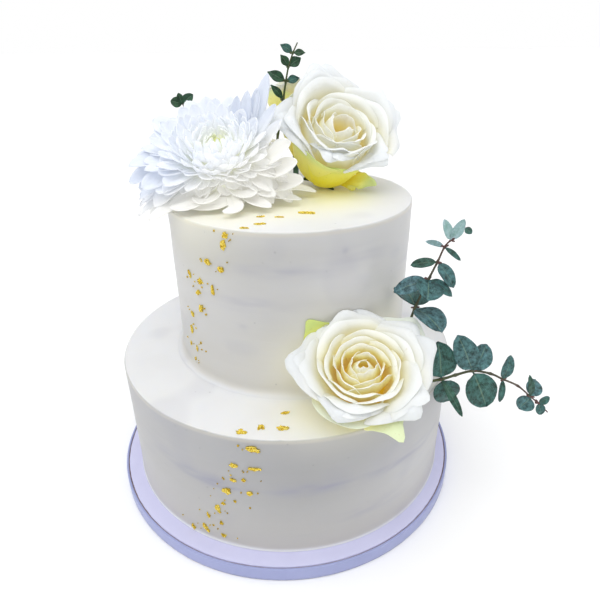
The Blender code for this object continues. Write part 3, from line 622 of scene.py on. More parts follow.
def rose_surface():
    """Velvety petals: ochre at the foot, cream, then white; guard petals are yellow-green. Painted shade
    greys the white near the edges and dims whole roses, and a faint glow is painted light.
    """
    made, tree, shader, place = surface(
        "rose_petal", 0.5,
        Subsurface_Weight=0.3, Subsurface_Radius=(1.0, 0.95, 0.8), Subsurface_Scale=0.0015,
        Specular_IOR_Level=0.25, Sheen_Weight=0.1, Sheen_Roughness=0.4,
        Emission_Strength=PETAL_GLOW,
    )
    depth = value_of(tree, "depth")
    cream = colours(
        tree, depth, (0.6, (0.80, 0.54, 0.02)), (0.76, (0.90, 0.76, 0.14)),
        (0.87, (0.94, 0.88, 0.48)), (0.94, (0.93, 0.92, 0.74)), (1.0, (0.94, 0.94, 0.88)),
    )
    # Near the petal edges the white is painted bluish-grey, painted shade, with a slightly paler very
    # edge, a painted highlight
    white = colours(
        tree, depth, (0.4, (0.88, 0.78, 0.14)), (0.6, (0.90, 0.88, 0.56)),
        (0.78, (0.82, 0.82, 0.75)), (0.93, (0.66, 0.68, 0.70)), (1.0, (0.70, 0.73, 0.75)),
    )
    colour = blend(tree, value_of(tree, "cream"), white, cream)
    green = colours(
        tree, depth, (0.2, (0.80, 0.68, 0.01)), (0.6, (0.80, 0.71, 0.03)),
        (0.85, (0.76, 0.73, 0.12)), (1.0, (0.55, 0.66, 0.20)),
    )
    colour = blend(tree, value_of(tree, "green"), colour, green)
    # Painted shade: a whole rose painted darker, for a rose that catches more light
    colour = tinted(tree, colour, dim=(0.56, 0.57, 0.55))
    veins = streaks(tree, 34, 2.2, 3)
    mottle = spread(tree, grain(tree, place, 500, 4), 0.62, 0.75, 0.0, 0.35)
    bruise = sums(tree, "MULTIPLY", mottle, value_of(tree, "bruise"))
    colour = blend(tree, bruise, colour, (0.42, 0.30, 0.10, 1))
    colour = blend(tree, spread(tree, veins, 0.45, 0.7, 0.0, 0.06), colour, (0.75, 0.72, 0.5, 1))
    # Painted light: the petals glow faintly in their own colour
    tree.links.new(colour, shader.inputs["Emission Color"])
    colour_and_relief(tree, shader, colour, veins, 0.2, 0.0003)
    return made


def mum_surface():
    """Silky white petals with fine grooves, pale green towards the eye and at the feet; painted shade in
    the grooves, in the cupped tips and on the outer petals, and a faint glow, painted light.
    """
    made, tree, shader, _ = surface(
        "white_petal", 0.5,
        Subsurface_Weight=0.3, Subsurface_Radius=(0.95, 0.95, 1.0), Subsurface_Scale=0.0015,
        Specular_IOR_Level=0.3, Sheen_Weight=0.15, Sheen_Roughness=0.4,
        Emission_Strength=PETAL_GLOW * MUM_GLOW,
    )
    depth = value_of(tree, "depth")
    colour = colours(
        tree, depth, (0.0, (0.80, 0.82, 0.40)), (0.3, (0.90, 0.92, 0.78)),
        (0.55, (0.95, 0.96, 0.95)), (1.0, (0.94, 0.96, 0.985)),
    )
    # hollow is painted bluish shade in the petals' cupped tips
    colour = tinted(tree, colour, eye=(0.72, 0.76, 0.26), hollow=(0.74, 0.78, 0.92))
    # Painted shade on the outer petals: bluish on the left and top, cream-grey elsewhere
    outer = blend(tree, value_of(tree, "left"), (0.77, 0.755, 0.70, 1), (0.58, 0.63, 0.74, 1))
    colour = blend(tree, sums(tree, "MULTIPLY", value_of(tree, "outer"), 0.85), colour, outer)
    grooves = streaks(tree, 9, 0.8, 2)
    # Painted shade in the grooves: they are painted bluish-grey
    colour = blend(tree, spread(tree, grooves, 0.4, 0.65, 0.12, 0.0), colour, (0.74, 0.78, 0.86, 1))
    # Painted light: the petals glow faintly in their own colour
    tree.links.new(colour, shader.inputs["Emission Color"])
    colour_and_relief(tree, shader, colour, grooves, 0.35, 0.0005)
    return made


def leaf_surface():
    """Waxy eucalyptus: dark teal, mottled with pale bloom, with a paler midrib."""
    made, tree, shader, place = surface(
        "eucalyptus_leaf", 0.45,
        Subsurface_Weight=0.05, Subsurface_Radius=(0.4, 1.0, 0.5), Subsurface_Scale=0.002,
        Specular_IOR_Level=0.35,
    )
    bloom = value_of(tree, "bloom")
    dark = colours(tree, bloom, (0.0, (0.006, 0.026, 0.007)), (0.5, (0.006, 0.026, 0.020)),
                   (0.85, (0.012, 0.036, 0.042)), (1.0, (0.22, 0.38, 0.36)))
    pale = colours(tree, bloom, (0.0, (0.026, 0.095, 0.026)), (0.5, (0.07, 0.21, 0.20)),
                   (0.85, (0.17, 0.33, 0.40)), (1.0, (0.45, 0.60, 0.64)))
    mottle = grain(tree, place, 330, 6, 0.7)
    colour = blend(tree, spread(tree, mottle, 0.36, 0.68), dark, pale)
    ribs = sums(tree, "ABSOLUTE", value_of(tree, "side"))
    midrib = spread(tree, ribs, 0.0, 0.07, 0.55, 0.0)
    colour = blend(tree, midrib, colour, (0.20, 0.30, 0.20, 1))
    lift = sums(tree, "MULTIPLY_ADD", ribs, -1.2, value_of(tree, "depth"))
    veins = spread(tree, sums(tree, "SINE", sums(tree, "MULTIPLY", lift, 46.0)), 0.75, 1.0)
    colour = blend(tree, sums(tree, "MULTIPLY", veins, 0.16), colour, (0.20, 0.32, 0.26, 1))
    height = sums(tree, "MULTIPLY_ADD", mottle, 0.6, sums(tree, "MULTIPLY", veins, -0.3))
    colour_and_relief(tree, shader, colour, height, 0.4, 0.0004)
    return made


def stem_surface():
    """Woody stems that run from olive to red-brown."""
    made, tree, shader, place = surface("eucalyptus_stem", 0.55)
    red = value_of(tree, "red")
    colour = colours(tree, red, (0.0, (0.055, 0.085, 0.02)), (0.5, (0.06, 0.055, 0.03)),
                     (1.0, (0.11, 0.035, 0.04)))
    ridges = grain(tree, stretched(tree, place, (900, 900, 120)), 1, 3)
    colour = blend(tree, spread(tree, ridges, 0.5, 0.75, 0.0, 0.4), colour, (0.16, 0.15, 0.09, 1))
    colour_and_relief(tree, shader, colour, ridges, 0.5, 0.0004)
    return made


def gold_surface():
    """Crumpled gold leaf: bright metal, painted dark in its creases and pale on its ridges, painted
    shade and highlight.
    """
    made, tree, shader, place = surface("gold_leaf", 0.24, Metallic=1.0)
    crumple = grain(tree, place, 800, 4, 0.7)
    # Painted shade and highlight: the creases are painted dark and the ridges pale
    colour = colours(
        tree, crumple, (0.3, (0.30, 0.19, 0.01)), (0.42, (0.72, 0.54, 0.07)),
        (0.6, (0.88, 0.73, 0.17)), (0.8, (0.98, 0.90, 0.48)),
    )
    colour_and_relief(tree, shader, colour, crumple, 0.9, 0.0006)
    return made


def turned_grid(profile, centre=(0, 0)):
    """A profile of (radius, height) turned round a centre, and its turns, ways out and radii."""
    turns = turns_of(ROUND_STEPS)
    out = np.stack([np.cos(turns), np.sin(turns), 0 * turns], -1)
    reach, height = np.array(profile, float).T[..., None]
    grid = out * reach[..., None] + np.array((*centre, 0))
    grid[..., 2] = height
    return grid, turns, out, reach


def turned_faces(rows):
    """Faces of a closed turned shape: quads between its rows, and a flat cap at each end."""
    ring = np.arange(ROUND_STEPS)
    caps = np.array([ring, ring[::-1] + (rows - 1) * ROUND_STEPS])
    return grid_faces(rows, ROUND_STEPS, closed=True), caps


def patches(angle, height, radius, spots):
    """The sum of soft spots round a tier: angle, height, half width, half height and strength."""
    total = 0
    for middle, z, wide, high, strength in spots:
        apart = np.radians((angle - middle + 180) % 360 - 180) * radius / wide
        total = total + strength * np.exp(-(apart**2) - ((height - z) / high) ** 2)
    return total


def add_tier(name, node, tier, smears, shades, glows, seed, icing):
    """One tier: flat top, crisp rim, scraped side, a soft fillet at the foot, all a bit uneven."""
    radius, top, bottom = tier["radius"], tier["top"], tier["bottom"]
    foot, flare = tier["foot_height"], tier["foot_spread"]
    profile = [(r, top) for r in np.arange(2, radius - RIM_ROUND - 0.5, 2.0)]
    for degrees in np.linspace(0, 90, 6):
        turn = math.radians(degrees)
        away = RIM_ROUND * math.sin(turn)
        profile.append((radius - RIM_ROUND + away, top - RIM_ROUND * (1 - math.cos(turn))))
    profile += [(radius, z) for z in np.arange(top - RIM_ROUND - 1, bottom + foot, -1.1)]
    for degrees in np.linspace(0, 90, 9):
        turn = math.radians(degrees)
        profile.append((radius + flare * (1 - math.cos(turn)), bottom + foot * (1 - math.sin(turn))))
    grid, turns, out, reach = turned_grid(profile, tier["centre"])
    height = grid[:, :1, 2]
    on_side = smooth_step((reach - radius + 1.2) / 1.2) * smooth_step((height - bottom) / 3)
    on_top = smooth_step((height - top + 1.2) / 1.2) * smooth_step((radius + 2 - reach) / 3)
    wave = noise_at(grid * (1, 1, 2.2), 38, seed) * 0.35
    scrape = noise_at(grid * (0.05, 0.05, 1), 3.2, seed + 1) * 0.06
    grid = grid + out * ((wave + scrape - 0.15) * on_side)[..., None]
    flat = noise_at(grid, 30, seed + 2) * 0.25 - 0.1
    ragged = np.maximum(noise_at(grid * (1, 1, 0), 7, seed + 3), 0) ** 2
    lip = smooth_step((reach - radius + 3) / 2.5) * ragged * 0.9
    grid[..., 2] += (flat * smooth_step((radius - reach) / 8) + lip) * on_top
    angle = np.degrees(turns)[None, :]
    streak = 0.6 + 0.8 * noise_at(grid * (0.6, 0.6, 3), 9, seed + 4)
    smear = np.clip(patches(angle, height, radius, smears) * streak * on_side, 0, 1) * 0.9
    smear += smooth_step((noise_at(grid, 26, seed + 5) - 0.25) / 0.4) * 0.12
    # Painted light from the nearby petals, strongest close to them
    glow = np.zeros(grid.shape[:2])
    for *place, size, strength in glows:
        away = np.linalg.norm(grid - np.array(place), axis=-1)
        glow += strength * np.exp(-((away / size) ** 2))
    below = np.exp(-((height - bottom) / tier["warm_height"])) * on_side * 0.5
    rim = np.exp(-(((height - top + 1.4) / 0.9) ** 2)) * on_side * 0.5
    warm = np.clip(below + rim, 0, 1) + 0 * smear
    piece = Piece()
    # Painted shade: the sides are painted darker than the top, lighter or darker in patches
    shade = on_side * (tier["shade"] + patches(angle, height, radius, shades))
    piece.add(
        grid, turned_faces(len(profile)), smear=smear.reshape(-1), shade=shade.reshape(-1),
        glow=np.clip(glow, 0, 1).reshape(-1), warm=warm.reshape(-1),
    )
    piece.make(name, icing, (node,))


def add_board(paper, edge_paper, card):
    """The round board: papered top, a strip of paper round its edge and the seam between."""
    inner, wall, outer, top = SEAM_RADIUS - SEAM_WIDTH, SEAM_RADIUS, BOARD_RADIUS, BOARD_HEIGHT
    profile = [(r, top) for r in np.arange(60, inner - 1, 4.0)]
    profile += [(inner - 0.5, top), (inner - 0.15, top - 0.08), (inner, top - 0.35)]
    profile += [(inner, z) for z in (8, 4, 0.05)]
    grid, _, out, reach = turned_grid(profile)
    ragged = noise_at(out * outer, 5, 41) * 0.16 + noise_at(out * outer, 22, 42) * 0.12
    grid = grid + out * (ragged * smooth_step((reach - inner + 2) / 2))[..., None]
    grid[..., 2] -= np.abs(noise_at(grid, 16, 43)) * 0.08 * (grid[..., 2] > top - 1)
    disc = Piece()
    disc.add(grid, turned_faces(len(profile)))
    disc.make("board_top_paper", paper, ("board_core",))

    profile = [(wall, 0.45), (wall, 8), (wall, top - 0.3), (wall + 0.15, top - 0.06)]
    profile += [(wall + 0.4, top), (outer - 0.5, top)]
    for degrees in (20, 45, 70, 90):
        turn = math.radians(degrees)
        profile.append((outer - 0.5 + 0.5 * math.sin(turn), top - 0.5 + 0.5 * math.cos(turn)))
    profile += [(outer, z) for z in np.arange(8.5, 1, -1.5)]
    profile += [(outer - 0.1, 0.6), (outer - 0.35, 0.45)]
    grid, _, out, reach = turned_grid(profile)
    ripple = np.abs(noise_at(grid * (1, 1, 0.2), 9, 44)) * 0.16
    grid = grid - out * (ripple * smooth_step((reach - outer + 0.6) / 0.5))[..., None]
    faces = grid_faces(len(profile), ROUND_STEPS, closed=True, ring=True)
    band = Piece()
    # The strip's faces look inwards, but for the ring underneath
    band.add(grid, (faces[:-ROUND_STEPS, ::-1], faces[-ROUND_STEPS:]))
    band.make("board_edge_paper", edge_paper, ("board_edge_band",))

    profile = [(inner - 0.6, 9.0), (wall + 0.3, 9.0), (wall + 0.3, 7.5), (inner - 0.6, 7.5)]
    ring = Piece()
    faces = grid_faces(len(profile), ROUND_STEPS, closed=True, ring=True)
    ring.add(turned_grid(profile)[0], (faces,))
    ring.make("board_card_edge", card, ())


def keep_off_cake(points, rose, margin):
    """Points moved out of the upper tier's wall and off the ledge, or off the top of the cake."""
    moved = np.array(points, float)
    on_ledge = rose["stem_end"] < UPPER["top"]
    tier = LOWER if on_ledge else UPPER
    floor = tier["top"] + margin
    if on_ledge:
        centre, radius = np.array(UPPER["centre"]), UPPER["radius"] + margin
        flat = moved[..., :2] - centre
        away = np.linalg.norm(flat, axis=-1)
        inside = away < radius
        moved[..., :2][inside] = centre + flat[inside] / away[inside][:, None] * radius
    over = np.linalg.norm(moved[..., :2] - np.array(tier["centre"]), axis=-1)
    low = (over < tier["radius"] + 1) & (moved[..., 2] < floor)
    moved[..., 2][low] = floor
    return moved


def bezier(share, points):
    """Points on a curve of four control points."""
    s = share[..., None]
    a, b, c, d = (np.array(p, float) for p in points)
    return a * (1 - s) ** 3 + b * 3 * s * (1 - s) ** 2 + c * 3 * s * s * (1 - s) + d * s**3


def rose_petal(rose, shape, heading, start, draw, seed):
    """The grid of one rose petal, in mm, and the share of its length at each point."""
    reach, high, foot_slope, tip_slope, wide, roll, point = shape
    ahead = max(0, -math.sin(heading)) * rose["front"]
    aside = max(0, math.cos(heading)) * (0.5 - 0.5 * math.sin(heading)) * rose["left"]
    reach = reach * (1 - (ahead + aside) * reach)
    axes = frame_of(rose["faces"])
    foot = np.array(rose["rim"]) - axes[0] * rose["depth"]
    behind = max(0, math.sin(heading)) * reach * rose["rise"]
    high = (high + behind) * draw.uniform(0.97, 1.03)
    first = math.radians(foot_slope)
    last = math.radians(tip_slope * (1 - 1.5 * behind) * (1 - 1.1 * ahead))
    high = high + 0.3 * ahead * (1 - high)
    tip = (reach * rose["radius"], high * rose["depth"])
    pull = math.dist(PETAL_START, tip) * PETAL_PULL
    bend = (
        PETAL_START,
        (PETAL_START[0] + pull * math.sin(first), PETAL_START[1] + pull * math.cos(first)),
        (tip[0] - pull * math.sin(last), tip[1] - pull * math.cos(last)),
        tip,
    )
    length = math.dist(PETAL_START, tip) * 1.12
    rows, side = grid_axes(PETAL_ROWS, PETAL_COLUMNS, 1.5)
    side = side * (1.35 - 0.35 * side * side)
    drawn_out = 1 + point * np.exp(-((side / 0.22) ** 2))
    far = (1 - PETAL_SHOULDER * np.abs(side) ** 2.5) * drawn_out
    far = far + 0.012 * np.sin(side * draw.uniform(5, 9) + draw.uniform(0, 6))
    share = start + (1 - start) * rows * far
    track = bezier(share, bend)
    step = np.diff(track, axis=0, prepend=track[:1])
    end = start + (1 - start) * far
    lip = (share - end) * length / (LIP_LENGTH[0] + (LIP_LENGTH[1] - LIP_LENGTH[0]) * reach) + 1
    turn = math.radians(roll) * smooth_step(lip) * draw.uniform(0.8, 1.15)
    turn = turn * (1 + 0.35 * np.sin(side * 4 + draw.uniform(0, 6)))
    out = step[..., 0] * np.cos(turn) + step[..., 1] * np.sin(turn)
    up = step[..., 1] * np.cos(turn) - step[..., 0] * np.sin(turn)
    radius = track[:1, :, 0] + np.cumsum(out, axis=0)
    height = track[:1, :, 1] + np.cumsum(up, axis=0)
    slope = np.arctan2(np.gradient(radius, axis=0), np.gradient(height, axis=0))
    ripe = smooth_step((share - 0.35) / 0.5)
    edge = smooth_step((np.abs(side) - 0.62) / 0.38) * ripe
    lift = edge * (0.5 + 0.035 * roll) * draw.uniform(0.6, 1.3)
    lift = lift - 0.5 * np.exp(-((side / 0.13) ** 2)) * ripe
    flat = np.stack([side * 14 + 0 * share, share * 20 + 0 * side, 0 * share + seed], -1)
    lift = lift + noise_at(flat, 10, seed) * 1.1 * ripe
    rim = smooth_step(1 - (end - share) * length / 7)
    lift = lift + noise_at(flat, 3.6, seed + 1) * 0.5 * rim
    twist = 1 + PETAL_TWIST * side
    radius = radius * twist + lift * np.cos(slope)
    height = height - lift * np.sin(slope)
    wide = PETAL_FOOT_WIDTH + (1 - PETAL_FOOT_WIDTH) * share
    turn = heading + math.radians(shape[4]) * side * wide
    out = ways_round(axes, turn)
    grid = foot + axes[0] * height[..., None] + out * np.maximum(radius, 0.4)[..., None]
    return keep_off_cake(grid, rose, PETAL_CLEARANCE), share, side


def add_petal(piece, petal, **values):
    """Add a petal that thins out towards its edge."""
    grid, share, side = petal
    thin = PETAL_THICKNESS * (1.25 - 0.6 * smooth_step((share - 0.3) / 0.6))
    piece.sheet(grid, thin, np.clip(share, 0, 1), side, **values)


def add_rose(name, node, rose, layers, guards, seed, petals, leaf):
    """A rose: whorls of petals from the bud outwards, guard petals, calyx and stem."""
    draw = random.Random(seed)
    piece = Piece()
    heading = math.radians(rose["turn"])
    for number, layer in enumerate(reversed(layers)):
        count, reach, high, foot, tip, wide, start, roll, point, cream = layer
        for k in range(count):
            turn = heading + k * math.tau / count + draw.uniform(-0.12, 0.12)
            shape = (reach * draw.uniform(0.97, 1.03), high, foot, tip, wide, roll, point)
            made = rose_petal(rose, shape, turn, start * 0.7, draw, seed + k + 9 * number)
            bruise = draw.choice((0, 0, 0.6))
            add_petal(piece, made, cream=cream * rose["cream"], green=0, bruise=bruise, dim=rose["dim"])
        heading += GOLDEN_TURN
    for turn, reach, high, foot, tip, wide, roll, point, green in guards:
        shape = (reach, high, foot, tip, wide, roll, point)
        made = rose_petal(rose, shape, math.radians(turn), 0.04, draw, seed + turn)
        add_petal(piece, made, cream=0, green=green, bruise=1, dim=0)
    axes = frame_of(rose["faces"])
    foot = np.array(rose["rim"]) - axes[0] * rose["depth"]
    ring = ways_round(axes, turns_of(HEART_SIDES))
    height, wide = np.array(ROSE_HEART).T[..., None, None]
    grid = foot + axes[0] * height * rose["depth"] + ring * wide * rose["radius"]
    grid = keep_off_cake(grid, rose, PETAL_CLEARANCE)
    cap = np.arange(HEART_SIDES)[None, ::-1]
    heart = (grid_faces(len(ROSE_HEART), HEART_SIDES, closed=True), cap)
    depth = np.repeat(0.4 + 0.58 * height, HEART_SIDES)
    piece.add(grid, heart, depth=depth, side=0, cream=1, green=0, bruise=0, dim=0)
    piece.make(name, petals, (node,))
    add_calyx(name.replace("petals", "calyx"), rose, foot, axes, leaf, draw)


def add_calyx(name, rose, foot, axes, leaf, draw):
    """The green cup under a rose, its five narrow sepals and the short stem."""
    piece = Piece()
    axis = axes[0]
    stem = np.array((foot[0] - axis[0] * 6, foot[1] - axis[1] * 6, rose["stem_end"]))
    path = curve_through((foot + axis * 1.5, foot - axis * 3, (foot - axis * 6 + stem) / 2, stem), 5)
    path[:, 2] = np.maximum(path[:, 2], rose["stem_end"])
    radii = np.interp(np.linspace(0, 1, len(path)), (0, 0.15, 0.35, 1), (4.2, 4.6, 2.4, 2.1))
    points, faces = tube(path, radii, 14)
    piece.add(points, faces, depth=0.5, side=0.5, bloom=0.1)
    share, side = grid_axes(12, 5)
    reach = 3.5 + SEPAL_LENGTH * share
    for k in range(SEPALS):
        turn = math.radians(rose["turn"] + 30) + k * math.tau / SEPALS + draw.uniform(-0.2, 0.2)
        out = ways_round(axes, turn)
        rise = 0.5 + 1.5 * share + 9 * share**2 - 5 * share**3
        wide = 3.6 * (1 - share) ** 0.7 + 0.25
        level = np.cross(axis, out)
        middle = foot + out * reach[..., None] + axis * rise[..., None]
        grid = middle + level * (side * wide)[..., None] - axis * ((side * wide) ** 2 * 0.05)[..., None]
        piece.sheet(keep_off_cake(grid, rose, 0.5), 0.5, share, side, bloom=0.1)
    piece.make(name, leaf, ())


def inside_rose(point, rose, margin=3):
    """Whether a point lies within the bowl of a rose."""
    axis, _, _ = frame_of(rose["faces"])
    offset = point - (np.array(rose["rim"]) - axis * rose["depth"])
    height = offset @ axis
    if not -8 < height < rose["depth"] * 1.2:
        return False
    share = min(max(height / rose["depth"], 0), 1)
    bowl = rose["radius"] * (0.45 + 0.6 * share**0.6)
    return np.linalg.norm(offset - axis * height) < bowl + margin


def petal_outline(share, wide):
    """Half width of a chrysanthemum petal along its length: narrow foot, full blade, round tip."""
    end = np.clip(1 - (np.clip(share - 0.62, 0, 1) / 0.385) ** 2, 0.02, 1) ** 0.65
    return wide / 2 * (0.35 + 0.65 * smooth_step(share / 0.65)) * end


def petal_relief(share, side, half, draw):
    """How far a chrysanthemum petal's surface rises: a hollow blade, two grooves, a curled tip."""
    cup = draw.uniform(0.25, 0.5)
    lift = half * cup * side**2 - 0.16 * np.cos(side * math.tau) * np.minimum(half, 3) / 3
    lift = lift + draw.uniform(0.4, 1.6) * share**6
    lift = lift + 0.5 * np.sin(side * 2 + draw.uniform(0, 6)) * smooth_step((share - 0.5) * 2)
    return lift + side * half * draw.uniform(-0.25, 0.25)


def mum_petal(axis, ring, tilt, reach, wide, bend, sway, draw):
    """The grid of one grooved petal that rises from the heart and curves in or out to its tip."""
    across = np.cross(axis, ring)
    root = MUM_HEART_RADIUS * 0.75
    root_tilt = tilt * 0.8 + bend * 0.35
    start = np.array((root * math.sin(root_tilt), root * math.cos(root_tilt)))
    tip = np.array((reach * math.sin(tilt), reach * math.cos(tilt)))
    lean = tilt * 0.95 + bend * 0.8
    steer = np.array((math.sin(lean), math.cos(lean))) * reach * 0.78
    s, c = grid_axes(MUM_PETAL_ROWS, MUM_PETAL_COLUMNS, MUM_ROW_EASE)
    flat = start * (1 - s) ** 2 + steer * 2 * s * (1 - s) + tip * s * s
    slope = unit(np.gradient(flat, axis=0))
    inner = np.stack([-slope[:, 1], slope[:, 0]], -1)
    half = petal_outline(s, wide)
    lift = petal_relief(s, c, half, draw)
    radial = flat[:, :1] + inner[:, :1] * lift
    height = flat[:, 1:] + inner[:, 1:] * lift
    offset = c * half + sway * s**2
    place = np.array(MUM_CENTRE, float)
    return place + ring * radial[..., None] + axis * height[..., None] + across * offset[..., None]


def loose_petal(path, wide, faces, draw):
    """The grid of one petal along a path of its own."""
    path = curve_through(path, 8)
    far = np.insert(np.cumsum(np.linalg.norm(np.diff(path, axis=0), axis=1)), 0, 0)
    s, c = grid_axes(MUM_PETAL_ROWS + 4, MUM_PETAL_COLUMNS, MUM_ROW_EASE)
    middle = np.stack([np.interp(s[:, 0] * far[-1], far, path[:, k]) for k in range(3)], -1)
    along = unit(np.gradient(middle, axis=0))
    across = unit(np.cross(along, np.array(faces, float)))
    inner = np.cross(across, along)
    half = petal_outline(s, wide)
    lift = petal_relief(s, c, half, draw)
    return middle[:, None] + across[:, None] * (c * half)[..., None] + inner[:, None] * lift[..., None]


def lowest_over_top(points, margin):
    """The lowest place for petals: just off the top of the cake, and lower past its rim."""
    away = np.linalg.norm(points[..., :2] - np.array(UPPER["centre"]), axis=-1)
    return UPPER["top"] + margin - 6 * smooth_step((away - UPPER["radius"] - 1.5) / 8)


def add_mum_petal(piece, grid, green, outer, draw):
    """Lift a petal off the cake where it needs to be, and add it."""
    floor = lowest_over_top(grid, 0.7 + draw.uniform(0, 0.5))
    grid[..., 2] = np.maximum(grid[..., 2], floor)
    s, c = grid_axes(len(grid), MUM_PETAL_COLUMNS, MUM_ROW_EASE)
    # Painted shade: bluish in the cupped middle of each petal's tip
    hollow = np.exp(-((c / 0.5) ** 2) - ((s - 0.82) / 0.13) ** 2) * draw.uniform(0, 0.5)
    # left: where the outer petals take the bluish painted shade
    left = smooth_step((MUM_CENTRE[0] + 12 - grid[..., 0]) / 45 + (grid[..., 2] - 226) / 24)
    piece.sheet(
        grid, MUM_PETAL_THICKNESS, s, c, hollow=both_sides(hollow), eye=green, outer=outer,
        left=both_sides(left),
    )


def add_chrysanthemum(name, node, petals, leaf):
    """A dome of petals: short and curved in round the eye, long and drooping below."""
    draw = random.Random(MUM_SEED)
    axes = frame_of(MUM_FACES)
    axis, across, upright = axes
    centre = np.array(MUM_CENTRE, float)
    piece = Piece()
    for row, (degrees, reach, wide, bend, green) in enumerate(MUM_ROWS):
        tilt = math.radians(degrees)
        count = max(4, round(math.tau * reach * math.sin(tilt) / (wide * MUM_OVERLAP)))
        for k in range(count):
            turn = (k + 0.5 * (row % 2) + draw.uniform(-0.3, 0.3)) * math.tau / count
            ring = ways_round(axes, turn)
            lean = tilt * draw.uniform(0.94, 1.05)
            way = axis * math.cos(lean) + ring * math.sin(lean)
            short = MUM_FRONT_SHORTER * max(0, -(way @ upright)) ** 3
            short += MUM_RIGHT_SHORTER * max(0, -(way @ (across * 0.75 + upright * 0.66))) ** 2
            long = reach * draw.uniform(0.9, 1.06) * (1 - short)
            while long > MUM_HEART_RADIUS:
                tip = centre + way * long
                if tip[2] > lowest_over_top(tip, 1.5) and not inside_rose(tip, TOP_ROSE):
                    break
                long -= 1.5
            if long < MUM_HEART_RADIUS * 1.12:
                continue
            sway = draw.uniform(-2.5, 2.5) * math.sin(tilt)
            curve = math.radians(bend * draw.uniform(0.7, 1.3))
            size = wide * draw.uniform(0.85, 1.12)
            grid = mum_petal(axis, ring, lean, long, size, curve, sway, draw)
            add_mum_petal(piece, grid, green, min(1, degrees / 90) ** 1.2, draw)
    for path, wide, faces in MUM_LOOSE_PETALS:
        add_mum_petal(piece, loose_petal(path, wide, faces, draw), 0, 1, draw)
    rows, sides = MUM_HEART_GRID
    ring = ways_round(axes, turns_of(sides))
    tilt = np.radians(np.linspace(2, 178, rows))[:, None, None]
    grid = centre + (axis * np.cos(tilt) + ring * np.sin(tilt)) * MUM_HEART_RADIUS
    grid[..., 2] = np.maximum(grid[..., 2], lowest_over_top(grid, 0.5))
    # The heart's faces look inwards; the petals hide it
    piece.add(grid, capped(rows, sides), depth=0.3, side=0, hollow=0, eye=0.2, outer=0.5, left=0)
    piece.make(name, petals, (node,))
    add_bracts(name.replace("petals", "bracts"), axes, leaf, draw)


def add_bracts(name, axes, leaf, draw):
    """The green scales that hold a chrysanthemum's petals from behind."""
    piece = Piece()
    share, side = grid_axes(8, 7)
    for degrees, count in BRACT_ROWS:
        for k in range(count):
            turn = (k + draw.uniform(-0.15, 0.15)) * math.tau / count + math.radians(degrees)
            tilt = np.radians(degrees - BRACT_LENGTH * share) + 0 * side
            reach = MUM_HEART_RADIUS + 0.8 + 1.2 * share**2 - 0.5 * side**2
            wide = math.tau / count * 0.75 * (1 - share**2.2 * 0.85)
            ring = ways_round(axes, turn + side * wide)
            grid = axes[0] * np.cos(tilt)[..., None] + ring * np.sin(tilt)[..., None]
            grid = grid * reach[..., None] + np.array(MUM_CENTRE)
            grid[..., 2] = np.maximum(grid[..., 2], lowest_over_top(grid, 0.6))
            piece.sheet(grid, 0.5, share, side, bloom=0.15)
    piece.make(name, leaf, ())


def leaf_sheet(foot, tip, wide, facing, stem_way, point, draw, seed):
    """The grid of a eucalyptus leaf, cupped and a little wavy; point is 0 for round ones."""
    along = tip - foot
    length = np.linalg.norm(along)
    hint = np.array((0, -1, 0.3)) * facing + stem_way * (1 - facing)
    face = unit(hint - along * (hint @ along) / length**2)
    across = unit(np.cross(along, face))
    s, c = grid_axes(LEAF_ROWS, LEAF_COLUMNS)
    blade = np.clip((s - 0.08) / 0.92, 0, 1)
    half = wide / 2 * np.clip(np.sin(math.pi * blade**0.85), 0, 1) ** (0.5 + 0.6 * point)
    half = np.maximum(half, 0.45 * (1 - s) + 0.06)
    arch = length * 0.1 * np.sin(math.pi * s)
    cup = draw.uniform(0.1, 0.26)
    lift = arch + half * cup * (c**2 - 0.5) - 0.12 * np.exp(-((c / 0.12) ** 2))
    flat = np.stack([c * wide / 2 + 0 * s, s * length + 0 * c, 0 * s * c + seed], -1)
    lift = lift + noise_at(flat, max(wide * 0.4, 2.5), seed) * min(0.07 * wide, 1.1)
    middle = foot + along * s[..., None]
    return middle + across * (c * half)[..., None] + face * lift[..., None], s, c


def add_sprig(name, node, stem, leaves, blooms, point, seed, leaf, bark, redness):
    """A eucalyptus sprig: leaves in one piece, and its knotty stem with buds in another."""
    draw = random.Random(seed)
    points = [np.array(place, float) for place in stem]
    blades = Piece()
    for number, (at, tip, wide, facing) in enumerate(leaves):
        ahead = unit(points[min(at + 1, len(points) - 1)] - points[at - 1])
        tip = np.array(tip, float)
        grid, s, c = leaf_sheet(points[at], tip, wide, facing, ahead, point, draw, seed + number)
        bloom = blooms[number % len(blooms)] * draw.uniform(0.85, 1.15)
        blades.sheet(grid, LEAF_THICKNESS, s, c, bloom=min(bloom, 1))
    blades.make(name + "_leaves", leaf, (node,))
    twig = Piece()
    path = curve_through(points, STEM_STEPS)
    share = np.linspace(0, 1, len(path))
    radii = STEM_RADIUS * (1.1 - 0.65 * share)
    for at in range(1, len(points) - 1):
        near = np.arange(len(path)) / STEM_STEPS - at
        radii = radii + 0.35 * np.exp(-((near / 0.12) ** 2))
    twig.add(*tube(path, radii), red=np.repeat(share, TUBE_SIDES) * redness)
    for at in sorted({entry[0] for entry in leaves}):
        for _ in range(BUDS):
            turn = draw.uniform(0, math.tau)
            way = unit(np.array((math.cos(turn), math.sin(turn) * 0.6, draw.uniform(-0.2, 0.7))))
            root = points[at] + way * 0.5
            bud = np.array([root, root + way * 0.8, root + way * 1.6, root + way * 2.2])
            twig.add(*tube(bud, (0.35, 0.6, 0.55, 0.12), 8), red=0.9 * redness)
    twig.make(name + "_stem", bark, ())


